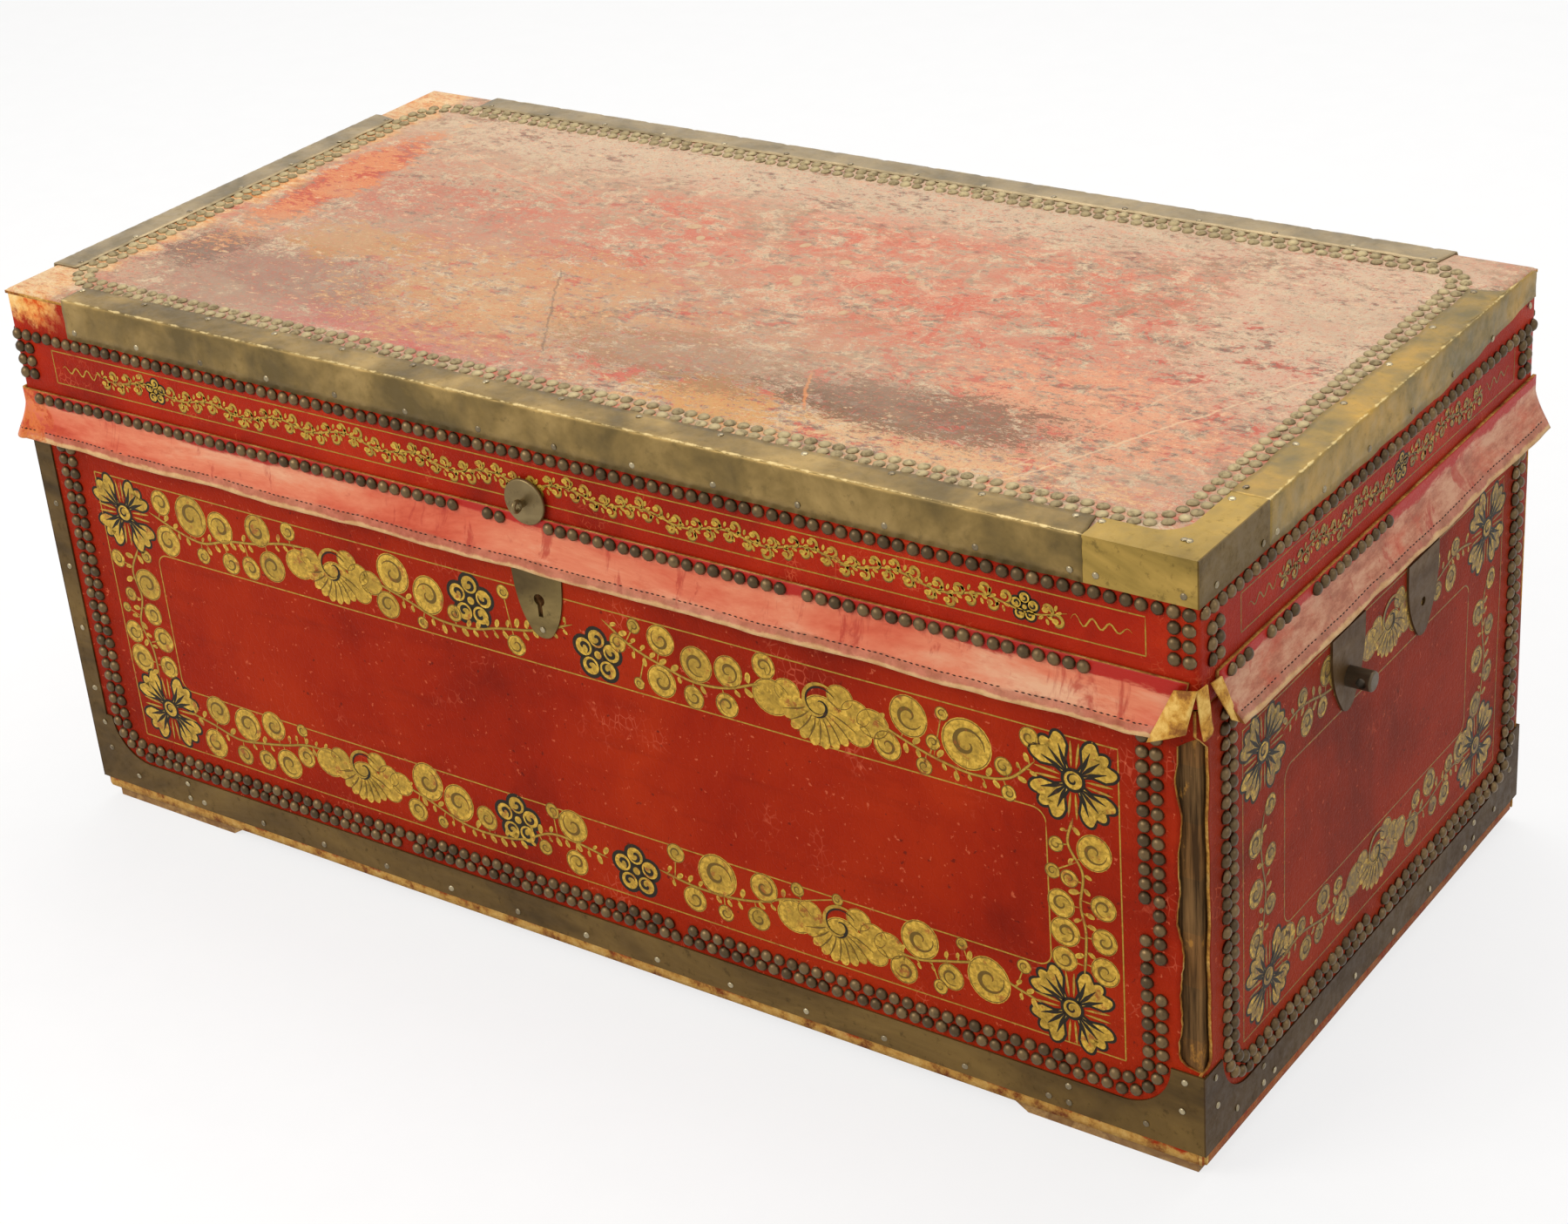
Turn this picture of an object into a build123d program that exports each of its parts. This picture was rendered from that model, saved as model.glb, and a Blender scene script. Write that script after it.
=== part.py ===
from build123d import *
import math
import os
import random

os.makedirs("parts", exist_ok=True)

# A travelling chest of thin boards, covered in leather, bound with brass strip and
# studded with domed nails. Millimetres, +Z up, +X from the chest's left to its right,
# the front faces -Y. The origin is the bottom centre of the whole chest's box.

# Driving dimensions, over the leather
WIDTH = 914.0
DEPTH = 450.0
BODY_TOP = 316.0
SEAM = 1.0
LID_WALL_TOP = 391.5

# Sheet and board thicknesses
BOARD = 15.0
FLOOR_BOARD = 14.0
LID_BOARD = 13.0
LEATHER = 2.0
SKIRT = 2.2
BRASS = 1.2
SKID_HEIGHT = 10.0

# How far the furthest pieces stand out of the leather
EYE_REACH = 15.0
AXIS_OUT = 4.2
KNUCKLE_RADIUS = 4.0
POST_REACH = 18.0

# Planes worked out from the driving dimensions
RIGHT = WIDTH / 2
LEFT = -RIGHT
FRONT = (EYE_REACH - AXIS_OUT - KNUCKLE_RADIUS - DEPTH) / 2
BACK = FRONT + DEPTH
MIDDLE = (FRONT + BACK) / 2
BODY_BOTTOM = SKID_HEIGHT + FLOOR_BOARD
LID_BOTTOM = BODY_TOP + SEAM
LID_BOARD_TOP = LID_WALL_TOP + LID_BOARD
LID_TOP = LID_BOARD_TOP + LEATHER
AXIS_Y = BACK + AXIS_OUT
AXIS_Z = BODY_TOP + SEAM / 2

OUTWARD = {"front": (0, -1, 0), "back": (0, 1, 0), "left": (-1, 0, 0), "right": (1, 0, 0)}


def save(name, shape):
    """Writes one piece, or one group of like pieces, under its own name."""
    export_step(shape, f"parts/{name}.step")


def block(x0, x1, y0, y1, z0, z1):
    """A box given by two opposite corners."""
    return Pos((x0 + x1) / 2, (y0 + y1) / 2, (z0 + z1) / 2) * Box(x1 - x0, y1 - y0, z1 - z0)


def group(shapes):
    """Separate solids that share one node."""
    return Compound(children=[solid for shape in shapes for solid in shape.solids()])


def on_face(side, along, z, out=0.0):
    """A plane that looks outward from an upright face of the case, with its Y upward.
    along is X on the front and back, and Y from the middle of the left and right faces;
    out is the distance off the leather."""
    normal = Vector(*OUTWARD[side])
    origin = {
        "front": (along, FRONT - out, z),
        "back": (along, BACK + out, z),
        "left": (LEFT - out, MIDDLE + along, z),
        "right": (RIGHT + out, MIDDLE + along, z),
    }[side]
    return Plane(origin=origin, x_dir=Vector(0, 0, 1).cross(normal), z_dir=normal)


def drill(side, along, z, radius, depth):
    """A round cut that starts 2 mm outside a face and goes depth into it."""
    clear = 2.0
    bit = Cylinder(radius, depth + clear, align=(Align.CENTER, Align.CENTER, Align.MAX))
    return on_face(side, along, z, clear) * bit


# Carcase boards. The front and back boards meet the sides in finger joints.
BODY_FINGERS = 8
LID_FINGERS = 3


def jointed_boards(low, high, fingers):
    """Front, back, left and right boards of an open box, their fingers taken in turn."""
    x_out, x_in = RIGHT - LEATHER, RIGHT - LEATHER - BOARD
    y_near, y_far = FRONT + LEATHER, BACK - LEATHER
    pitch = (high - low) / fingers
    steps = [(low + i * pitch, low + (i + 1) * pitch) for i in range(fingers)]
    boards = {}
    for name, y0, y1 in (("front", y_near, y_near + BOARD), ("back", y_far - BOARD, y_far)):
        board = block(-x_in, x_in, y0, y1, low, high)
        for z0, z1 in steps[0::2]:
            board += block(-x_out, -x_in, y0, y1, z0, z1)
            board += block(x_in, x_out, y0, y1, z0, z1)
        boards[name] = board
    for name, x0, x1 in (("left", -x_out, -x_in), ("right", x_in, x_out)):
        board = block(x0, x1, y_near + BOARD, y_far - BOARD, low, high)
        for z0, z1 in steps[1::2]:
            board += block(x0, x1, y_near, y_near + BOARD, z0, z1)
            board += block(x0, x1, y_far - BOARD, y_far, z0, z1)
        boards[name] = board
    return boards


def flat_board(z0, z1):
    """A board as wide and deep as the carcase."""
    return block(LEFT + LEATHER, RIGHT - LEATHER, FRONT + LEATHER, BACK - LEATHER, z0, z1)


# The middle of the lock on the front, and the round plate on the lid above it
LOCK_X = -4.0
ROSE_Z = 343.0
ROSE_RADIUS = 15.5

# Openings through leather and board: the keyhole, and round holes for the handle posts.
KEYHOLE_Z = 274.0
KEYHOLE_RADIUS = 4.2
KEYHOLE_SLOT = 3.6
KEYHOLE_DROP = 12.0
SHANK_RADIUS = 3.0
POST_Z = 248.0
POSTS_ALONG = (-44.0, 60.0)
WALL = LEATHER + BOARD


def keyhole_cut(depth):
    """The keyhole, a round with a narrow slot below it, cut depth deep into the front."""
    clear = 4.0
    slot_half = KEYHOLE_SLOT / 2
    slot_low = KEYHOLE_Z - KEYHOLE_DROP
    x0, x1 = LOCK_X - slot_half, LOCK_X + slot_half
    slot = block(x0, x1, FRONT - clear, FRONT + depth, slot_low, KEYHOLE_Z)
    bit = Cylinder(KEYHOLE_RADIUS, depth + clear, align=(Align.CENTER, Align.CENTER, Align.MAX))
    return on_face("front", LOCK_X, KEYHOLE_Z, clear) * bit + slot


def shank_cuts(side, depth):
    """The two round holes of one handle, side by side."""
    near, far = (drill(side, along, POST_Z, SHANK_RADIUS, depth) for along in POSTS_ALONG)
    return near + far


body = jointed_boards(BODY_BOTTOM, BODY_TOP, BODY_FINGERS)
body["front"] -= keyhole_cut(WALL + 1)
body["left"] -= shank_cuts("left", WALL + 1)
body["right"] -= shank_cuts("right", WALL + 1)
for side, board in body.items():
    save(f"body_{side}_board", board)
save("bottom_board", flat_board(SKID_HEIGHT, BODY_BOTTOM))

# Skids: a wide batten under each end, its inner end sloped underneath.
SKID_OUTER = 7.0
SKID_WIDTH = 132.0
SKID_SLOPE = 16.0
SKID_SETBACK = 5.0


def skid(hand):
    """A batten that runs from front to back; hand is -1 at the left and 1 at the right."""
    outer = hand * (RIGHT - SKID_OUTER)
    inner = outer - hand * SKID_WIDTH
    section = Polyline(
        (outer, 0),
        (inner + hand * SKID_SLOPE, 0),
        (inner, SKID_HEIGHT),
        (outer, SKID_HEIGHT),
        close=True,
    )
    back_end = Plane(origin=(0, BACK - SKID_SETBACK, 0), x_dir=(1, 0, 0), z_dir=(0, -1, 0))
    return back_end * extrude(make_face(section), DEPTH - 2 * SKID_SETBACK)


save("skid_left", skid(-1))
save("skid_right", skid(1))

# Body leather, a sheet on each face. It is torn away along the right front corner.
TEAR_LOW = 75.0
TEAR_HIGH = 300.0
TEAR_STEPS = 9
TEAR_ON_FRONT = 16.0
TEAR_ON_SIDE = 6.0
SWAY_ON_FRONT = 3.0
SWAY_ON_SIDE = 1.5


def tear(width, sway):
    """The ragged strip of missing leather along a corner, its far edge swaying about width."""
    step = (TEAR_HIGH - TEAR_LOW) / TEAR_STEPS
    edge = [
        (-width - sway * math.sin(2.6 * i) * math.cos(0.9 * i), TEAR_LOW + step * i)
        for i in range(TEAR_STEPS + 1)
    ]
    return make_face(Polyline((2, TEAR_LOW), *edge, (2, TEAR_HIGH), close=True))


front_corner = Plane(origin=(RIGHT, FRONT, 0), x_dir=(1, 0, 0), z_dir=(0, -1, 0))
side_corner = Plane(origin=(RIGHT, FRONT, 0), x_dir=(0, -1, 0), z_dir=(-1, 0, 0))
cut_depth = 2 * LEATHER
front_tear = front_corner * extrude(tear(TEAR_ON_FRONT, SWAY_ON_FRONT), cut_depth, both=True)
side_tear = side_corner * extrude(tear(TEAR_ON_SIDE, SWAY_ON_SIDE), cut_depth, both=True)

leather_front = block(LEFT, RIGHT, FRONT, FRONT + LEATHER, SKID_HEIGHT, BODY_TOP)
save("leather_front", leather_front - keyhole_cut(LEATHER + 1) - front_tear)
save("leather_back", block(LEFT, RIGHT, BACK - LEATHER, BACK, SKID_HEIGHT, BODY_TOP))
for side, x0, x1 in (("left", LEFT, LEFT + LEATHER), ("right", RIGHT - LEATHER, RIGHT)):
    sheet = block(x0, x1, FRONT + LEATHER, BACK - LEATHER, SKID_HEIGHT, BODY_TOP)
    sheet -= shank_cuts(side, LEATHER + 1)
    save(f"leather_{side}", sheet - side_tear)

# Lid: jointed walls, a top board laid on them, a leather band round it and a sheet on top.
lid = jointed_boards(LID_BOTTOM, LID_WALL_TOP, LID_FINGERS)
for side, board in lid.items():
    save(f"lid_{side}_board", board)
save("lid_top_board", flat_board(LID_WALL_TOP, LID_BOARD_TOP))

band = block(LEFT, RIGHT, FRONT, BACK, LID_BOTTOM, LID_BOARD_TOP)
save("lid_leather_band", band - flat_board(LID_BOTTOM - 1, LID_BOARD_TOP + 1))
save("lid_leather_top", block(LEFT, RIGHT, FRONT, BACK, LID_BOARD_TOP, LID_TOP))

# Leather skirt. It is nailed to the lower edge of the lid, flares out over the seam and
# hangs outside the body. It is one strip round the left front corner, split at the right.
SKIRT_TOP = 333.0
SKIRT_FLARE = 322.5
SKIRT_LOW = 297.0
SKIRT_OUT_FRONT = 9.5
SKIRT_OUT_SIDE = 11.5
SPLIT_ON_FRONT = 6.0
SPLIT_ON_SIDE = 18.0
MITRE_REACH = 40.0


def skirt_section(out):
    """The skirt's section: X outward from the leather, Y upward."""
    drop = SKIRT_FLARE - SKIRT_LOW
    knees = [
        (0, SKIRT_FLARE),
        (0.42 * out, SKIRT_FLARE - 0.45 * drop),
        (0.9 * out, SKIRT_FLARE - 0.8 * drop),
        (out, SKIRT_LOW),
    ]
    ends = [(0, -1), (0.05, -1)]
    inner = Spline(*knees, tangents=ends)
    outer = Spline(*[(x + SKIRT, y) for x, y in knees], tangents=ends)
    outline = [
        Line((0, SKIRT_TOP), (0, SKIRT_FLARE)),
        inner,
        Line((out, SKIRT_LOW), (out + SKIRT, SKIRT_LOW)),
        outer,
        Line((SKIRT, SKIRT_FLARE), (SKIRT, SKIRT_TOP)),
        Line((SKIRT, SKIRT_TOP), (0, SKIRT_TOP)),
    ]
    return make_face(outline)


def skirt(side, out, plan):
    """One side of the skirt, cut to its plan outline at its corners."""
    normal = Vector(*OUTWARD[side])
    start = {"front": (0, FRONT, 0), "left": (LEFT, MIDDLE, 0), "right": (RIGHT, MIDDLE, 0)}[side]
    section = Plane(origin=start, x_dir=normal, z_dir=normal.cross(Vector(0, 0, 1)))
    strip = section * extrude(skirt_section(out), WIDTH, both=True)
    height = SKIRT_TOP - SKIRT_LOW
    column = extrude(make_face(Polyline(*plan, close=True)), height + 2)
    return strip & Pos(0, 0, SKIRT_LOW - 1) * column


front_plan = [
    (LEFT, FRONT),
    (LEFT - MITRE_REACH, FRONT - MITRE_REACH),
    (RIGHT - SPLIT_ON_FRONT, FRONT - MITRE_REACH),
    (RIGHT - SPLIT_ON_FRONT, FRONT),
]
left_plan = [
    (LEFT, FRONT),
    (LEFT - MITRE_REACH, FRONT - MITRE_REACH),
    (LEFT - MITRE_REACH, BACK),
    (LEFT, BACK),
]
right_plan = [
    (RIGHT, FRONT + SPLIT_ON_SIDE),
    (RIGHT + MITRE_REACH, FRONT + SPLIT_ON_SIDE),
    (RIGHT + MITRE_REACH, BACK),
    (RIGHT, BACK),
]
save("skirt_front", skirt("front", SKIRT_OUT_FRONT, front_plan))
save("skirt_left", skirt("left", SKIRT_OUT_SIDE, left_plan))
save("skirt_right", skirt("right", SKIRT_OUT_SIDE, right_plan))

# Brass angle strips along the lid's upper edges, and the one corner cap that is left.
STRIP_LOW = 379.0
STRIP_TOP_LEG = 22.0
STRIP_TOP = LID_TOP + BRASS
CAP_ON_FRONT = 69.0
CAP_ON_SIDE = 80.0
CAP_ROUND = 18.0
front_run = (LEFT + 57, RIGHT - CAP_ON_FRONT)
back_run = (LEFT + 66, RIGHT - 54)
left_run = (FRONT + 47, BACK - 68)
right_run = (FRONT + CAP_ON_SIDE, BACK - 50)
right_leg_run = (FRONT + CAP_ON_SIDE, BACK - 5)


def angle_strip(upright, flat):
    """An angle of sheet brass: an upright leg on the band and a flat leg on the lid's top."""
    return block(*upright, STRIP_LOW, LID_TOP) + block(*flat, LID_TOP, STRIP_TOP)


save(
    "lid_strip_front",
    angle_strip(
        (*front_run, FRONT - BRASS, FRONT), (*front_run, FRONT - BRASS, FRONT + STRIP_TOP_LEG)
    ),
)
save(
    "lid_strip_back",
    angle_strip((*back_run, BACK, BACK + BRASS), (*back_run, BACK - STRIP_TOP_LEG, BACK + BRASS)),
)
save(
    "lid_strip_left",
    angle_strip((LEFT - BRASS, LEFT, *left_run), (LEFT - BRASS, LEFT + STRIP_TOP_LEG, *left_run)),
)
save(
    "lid_strip_right",
    angle_strip(
        (RIGHT, RIGHT + BRASS, *right_leg_run), (RIGHT - STRIP_TOP_LEG, RIGHT + BRASS, *right_run)
    ),
)

cap_left = RIGHT - CAP_ON_FRONT
cap_back = FRONT + CAP_ON_SIDE
cap_x = RIGHT - STRIP_TOP_LEG
cap_y = FRONT + STRIP_TOP_LEG
cap_plan = make_face([
    Line((cap_left, FRONT - BRASS), (RIGHT + BRASS, FRONT - BRASS)),
    Line((RIGHT + BRASS, FRONT - BRASS), (RIGHT + BRASS, cap_back)),
    Line((RIGHT + BRASS, cap_back), (cap_x, cap_back)),
    Line((cap_x, cap_back), (cap_x, cap_y + CAP_ROUND)),
    RadiusArc((cap_x, cap_y + CAP_ROUND), (cap_x - CAP_ROUND, cap_y), CAP_ROUND),
    Line((cap_x - CAP_ROUND, cap_y), (cap_left, cap_y)),
    Line((cap_left, cap_y), (cap_left, FRONT - BRASS)),
])
corner_cap = Pos(0, 0, LID_TOP) * extrude(cap_plan, BRASS)
corner_cap += block(cap_left, RIGHT + BRASS, FRONT - BRASS, FRONT, STRIP_LOW, LID_TOP)
corner_cap += block(RIGHT, RIGHT + BRASS, FRONT, cap_back, STRIP_LOW, LID_TOP)
save("lid_corner_cap", corner_cap)

# Brass round the foot of the body: four corner plates with bands between them, and
# upright angle strips on the two left corners. The right ones are lost.
BAND_LOW = 18.0
BAND_HIGH = 41.0
PLATE_ON_FRONT = 96.0
PLATE_ON_SIDE = 78.0
PLATE_HIGH = 74.0
PLATE_NECK = 21.0
UPRIGHT_LEG = 15.0
UPRIGHT_TOP = 309.0


def plate_leg(length, overlap):
    """One leg of a base corner plate: X inward from the corner, Y upward."""
    hollow = PLATE_HIGH - BAND_HIGH
    foot = PLATE_NECK + hollow
    return make_face([
        Line((-overlap, BAND_LOW), (length, BAND_LOW)),
        Line((length, BAND_LOW), (length, BAND_HIGH)),
        Line((length, BAND_HIGH), (foot, BAND_HIGH)),
        RadiusArc((foot, BAND_HIGH), (PLATE_NECK, PLATE_HIGH), hollow),
        Line((PLATE_NECK, PLATE_HIGH), (-overlap, PLATE_HIGH)),
        Line((-overlap, PLATE_HIGH), (-overlap, BAND_LOW)),
    ])


def base_corner():
    """The plate folded round the left front corner."""
    front_leg = Plane(origin=(LEFT, FRONT, 0), x_dir=(1, 0, 0), z_dir=(0, -1, 0))
    side_leg = Plane(origin=(LEFT, FRONT, 0), x_dir=(0, 1, 0), z_dir=(1, 0, 0))
    plate = front_leg * extrude(plate_leg(PLATE_ON_FRONT, BRASS), BRASS)
    return plate + side_leg * extrude(plate_leg(PLATE_ON_SIDE, 0), -BRASS)


across = Plane.YZ
along = Plane(origin=(0, MIDDLE, 0), x_dir=(1, 0, 0), z_dir=(0, 1, 0))
upright = block(LEFT - BRASS, LEFT + UPRIGHT_LEG, FRONT - BRASS, FRONT, PLATE_HIGH, UPRIGHT_TOP)
upright += block(LEFT - BRASS, LEFT, FRONT, FRONT + UPRIGHT_LEG, PLATE_HIGH, UPRIGHT_TOP)
save("base_corner_front_left", base_corner())
save("base_corner_front_right", mirror(base_corner(), across))
save("base_corner_back_left", mirror(base_corner(), along))
save("base_corner_back_right", mirror(mirror(base_corner(), across), along))
save("corner_strip_front_left", upright)
save("corner_strip_back_left", mirror(upright, along))

band_x = RIGHT - PLATE_ON_FRONT
band_y = (FRONT + PLATE_ON_SIDE, BACK - PLATE_ON_SIDE)
save("base_band_front", block(-band_x, band_x, FRONT - BRASS, FRONT, BAND_LOW, BAND_HIGH))
save("base_band_back", block(-band_x, band_x, BACK, BACK + BRASS, BAND_LOW, BAND_HIGH))
save("base_band_left", block(LEFT - BRASS, LEFT, *band_y, BAND_LOW, BAND_HIGH))
save("base_band_right", block(RIGHT, RIGHT + BRASS, *band_y, BAND_LOW, BAND_HIGH))


def dome(radius, height):
    """A round head: a cap of a sphere on a flat underside, its axis along Z."""
    sphere = (radius**2 + height**2) / (2 * height)
    half_angle = math.asin(radius / sphere) / 2
    middle = (sphere * math.sin(half_angle), height - sphere + sphere * math.cos(half_angle))
    profile = make_face([
        Line((0, 0), (radius, 0)),
        ThreePointArc((radius, 0), middle, (0, height)),
        Line((0, height), (0, 0)),
    ])
    return revolve(Plane.XZ * profile, Axis.Z)


# Domed nails. Rows keep their pitch along straight runs and round the corners, with the
# small wander of nails set by hand.
NAIL_RADIUS = 4.4
NAIL_HEIGHT = 3.8
NAIL_PITCH = 9.6
NAIL_WANDER = 0.35
ROW_GAP = 8.8
ROW_LOW = 48.0
ROW_ROUND = 29.0
ROW_TOP = 302.0
ROW_HALF_FRONT = 430.5
ROW_HALF_SIDE = 203.5
ROW_SIDE_SHIFT = 5.5
LID_ROW_HIGH = 374.0
LID_ROW_LOW = 328.0
LID_COLUMNS = (442.5, 451.5)
HINGES_X = (-250.0, 250.0)
LEAF_WIDTH = 50.0

wander = random.Random(5)
nail = dome(NAIL_RADIUS, NAIL_HEIGHT)
body_nails = []
lid_nails = []


def spaced(path, pitch=NAIL_PITCH):
    """Evenly spaced points on a path, ends included, each moved a little."""
    count = round(path.length / pitch)
    points = [path @ (i / count) for i in range(count + 1)]
    return [
        (p.X + wander.uniform(-NAIL_WANDER, NAIL_WANDER), p.Y + wander.uniform(-NAIL_WANDER, NAIL_WANDER))
        for p in points
    ]


def u_rows(half, shift=0.0):
    """The double row of a body face: down, along the foot and up again."""
    points = []
    for inset in (0.0, ROW_GAP):
        path = FilletPolyline(
            (shift - half + inset, ROW_TOP),
            (shift - half + inset, ROW_LOW + inset),
            (shift + half - inset, ROW_LOW + inset),
            (shift + half - inset, ROW_TOP),
            radius=ROW_ROUND - inset,
        )
        points += spaced(path)
    return points


def row(start, end, z, slope=0.0):
    """A single level row; slope is its fall from start to end."""
    return spaced(Line((start, z), (end, z - slope)))


def without(points, gaps):
    """Leaves out the nails that are lost: each gap is a centre and a radius."""
    return [p for p in points if all(math.dist(p, (x, z)) > reach for x, z, reach in gaps)]


def set_nails(side, points, out=0.0):
    """Nail heads standing on one face."""
    return [on_face(side, x, z, out) * nail for x, z in points]


def over_brass(side, along, z):
    """True where a head near the back corner of an end reaches over the brass there."""
    reach = NAIL_RADIUS + 0.2
    hollow = PLATE_HIGH - BAND_HIGH
    foot = PLATE_NECK + hollow
    edge = DEPTH / 2 - along
    if side == "left" and z < UPRIGHT_TOP + reach and edge < UPRIGHT_LEG + reach:
        return True
    if z > PLATE_HIGH + reach or edge > foot:
        return False
    return edge < PLATE_NECK + reach or math.dist((edge, z), (foot, PLATE_HIGH)) > hollow - reach


def set_end_nails(side, points):
    """Nail heads on an end of the body. Those over the brass stand on it."""
    raised = [p for p in points if over_brass(side, *p)]
    level = [p for p in points if not over_brass(side, *p)]
    return set_nails(side, raised, BRASS) + set_nails(side, level)


FRONT_GAPS = [(80, 55, 7), (421, 172, 7), (430, 134, 6), (-150, 46, 5)]
RIGHT_GAPS = [(-2, 55, 6), (8, 55, 6)]
body_nails += set_nails("front", without(u_rows(ROW_HALF_FRONT), FRONT_GAPS))
body_nails += set_nails("back", u_rows(ROW_HALF_FRONT))
body_nails += set_end_nails("left", u_rows(ROW_HALF_SIDE, ROW_SIDE_SHIFT))
body_nails += set_end_nails("right", without(u_rows(ROW_HALF_SIDE, ROW_SIDE_SHIFT), RIGHT_GAPS))

lid_high = row(-452, 452, LID_ROW_HIGH)
lid_low = row(-440, 436, LID_ROW_LOW)
columns = [(hand * x, 364.5 - NAIL_PITCH * i) for hand in (-1, 1) for x in LID_COLUMNS for i in range(3)]
lid_nails += set_nails("front", lid_high + columns)
low_gaps = [(LOCK_X, ROSE_Z, ROSE_RADIUS + NAIL_RADIUS + 1), (-50, 328, 7), (195, 328, 5), (420, 328, 27)]
lid_nails += set_nails("front", without(lid_low, low_gaps), SKIRT)
lid_nails += set_nails("back", row(-452, 452, LID_ROW_HIGH))
back_gaps = [(x, LID_ROW_LOW, LEAF_WIDTH / 2 + NAIL_PITCH / 2) for x in HINGES_X]
lid_nails += set_nails("back", without(row(-440, 440, LID_ROW_LOW), back_gaps))
side_columns = [(hand * x, 364.5 - NAIL_PITCH * i) for hand in (-1, 1) for x in (203, 212) for i in range(3)]
for side, fall in (("left", 0), ("right", 5)):
    lid_nails += set_nails(side, row(-219, 219, LID_ROW_HIGH, fall))
    lid_nails += set_nails(side, [(x, z - 3) for x, z in side_columns])
lid_nails += set_nails("left", row(-210, 210, LID_ROW_LOW), SKIRT)
right_low = row(-194, 4, LID_ROW_LOW)
lid_nails += set_nails("right", without(right_low, [(-160, 328, 6), (-105, 328, 6)]), SKIRT)
save("nails_body", group(body_nails))
save("nails_lid", group(lid_nails))

# Flatter nails in a double row round the lid's top.
TOP_NAIL_RADIUS = 4.1
TOP_NAIL_HEIGHT = 2.2
TOP_ROW_IN = 26.5
TOP_ROW_GAP = 8.6
TOP_ROW_ROUND = 29.0

top_nail = dome(TOP_NAIL_RADIUS, TOP_NAIL_HEIGHT)
top_nails = []
for inset in (TOP_ROW_IN, TOP_ROW_IN + TOP_ROW_GAP):
    loop = FilletPolyline(
        (LEFT + inset, FRONT + inset),
        (RIGHT - inset, FRONT + inset),
        (RIGHT - inset, BACK - inset),
        (LEFT + inset, BACK - inset),
        radius=TOP_ROW_ROUND - inset + TOP_ROW_IN,
        close=True,
    )
    top_nails += [Pos(x, y, LID_TOP) * top_nail for x, y in spaced(loop)[:-1]]
save("nails_lid_top", group(top_nails))

# Small round-headed pins that hold the brass.
PIN_RADIUS = 2.3
PIN_HEIGHT = 1.0
PIN_PITCH = 57.6
LID_PIN_Z = 385.0
TOP_PIN_IN = 17.5
BASE_PIN_Z = 24.0

pin = dome(PIN_RADIUS, PIN_HEIGHT)


def pin_places(start, end):
    """Places of pins along a strip, a little in from its ends."""
    inset = 8.0
    count = max(1, round((end - start - 2 * inset) / PIN_PITCH))
    return [start + inset + (end - start - 2 * inset) * i / count for i in range(count + 1)]


lid_pins = []
for x in pin_places(*front_run) + pin_places(cap_left, RIGHT):
    lid_pins.append(on_face("front", x, LID_PIN_Z, BRASS) * pin)
    lid_pins.append(Pos(x - 6, FRONT + TOP_PIN_IN, STRIP_TOP) * pin)
for x in pin_places(*back_run):
    lid_pins.append(on_face("back", x, LID_PIN_Z, BRASS) * pin)
    lid_pins.append(Pos(x, BACK - TOP_PIN_IN, STRIP_TOP) * pin)
for y in pin_places(*left_run):
    lid_pins.append(on_face("left", y - MIDDLE, LID_PIN_Z, BRASS) * pin)
    lid_pins.append(Pos(LEFT + TOP_PIN_IN, y, STRIP_TOP) * pin)
for y in pin_places(*right_leg_run) + pin_places(FRONT + 10, cap_back):
    lid_pins.append(on_face("right", y - MIDDLE, LID_PIN_Z, BRASS) * pin)
for y in pin_places(*right_run) + pin_places(FRONT + 10, cap_back):
    lid_pins.append(Pos(RIGHT - TOP_PIN_IN, y, STRIP_TOP) * pin)
save("lid_pins", group(lid_pins))

case_pins = []
for side, half, reach in (
    ("front", RIGHT, PLATE_ON_FRONT),
    ("back", RIGHT, PLATE_ON_FRONT),
    ("left", DEPTH / 2, PLATE_ON_SIDE),
    ("right", DEPTH / 2, PLATE_ON_SIDE),
):
    places = [(x, BASE_PIN_Z) for x in pin_places(reach - half, half - reach)]
    for hand in (-1, 1):
        places += [(hand * (half - 12), PLATE_HIGH - 7), (hand * (half - 14), 46)]
        places += [(hand * (half - 38), 28), (hand * (half - reach + 6), 36), (hand * (half - reach + 6), 24)]
    case_pins += [on_face(side, x, z, BRASS) * pin for x, z in places]
for side in ("front", "back"):
    case_pins += [on_face(side, LEFT + 9, z, BRASS) * pin for z in range(95, 300, 50)]
for hand in (-1, 1):
    case_pins += [on_face("left", hand * (DEPTH / 2 - 9), z, BRASS) * pin for z in range(95, 300, 50)]


def shield(half_width, top, tip_z, tip_radius):
    """A plate's outline: straight shoulders, flanks that draw in, and a rounded tip."""
    return make_face([
        Line((-half_width, top), (half_width, top)),
        Spline(
            (half_width, top),
            (0.93 * half_width, 0.55 * top + 0.45 * tip_z),
            (tip_radius, tip_z + 0.55 * tip_radius),
            tangents=[(0, -1), (-0.75, -1)],
        ),
        ThreePointArc(
            (tip_radius, tip_z + 0.55 * tip_radius), (0, tip_z), (-tip_radius, tip_z + 0.55 * tip_radius)
        ),
        Spline(
            (-tip_radius, tip_z + 0.55 * tip_radius),
            (-0.93 * half_width, 0.55 * top + 0.45 * tip_z),
            (-half_width, top),
            tangents=[(-0.75, 1), (0, 1)],
        ),
    ])


# Escutcheon, and the rose with the stub of a ring pull on the lid.
ESCUTCHEON_HALF = 20.0
ESCUTCHEON_TOP = 304.0
ESCUTCHEON_TIP = 247.0
ROSE_THICK = 2.0
ROSE_BOSS = 4.0
EYE_RADIUS = 3.2
EYE_WIRE = 1.4

escutcheon = extrude(shield(ESCUTCHEON_HALF, ESCUTCHEON_TOP, ESCUTCHEON_TIP, 9.0), BRASS)
save("escutcheon", on_face("front", LOCK_X, 0) * escutcheon - keyhole_cut(1))
case_pins += [on_face("front", LOCK_X + x, z, BRASS) * pin for x, z in ((-15, 295), (15, 295), (0, 253))]
save("case_pins", group(case_pins))

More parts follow.
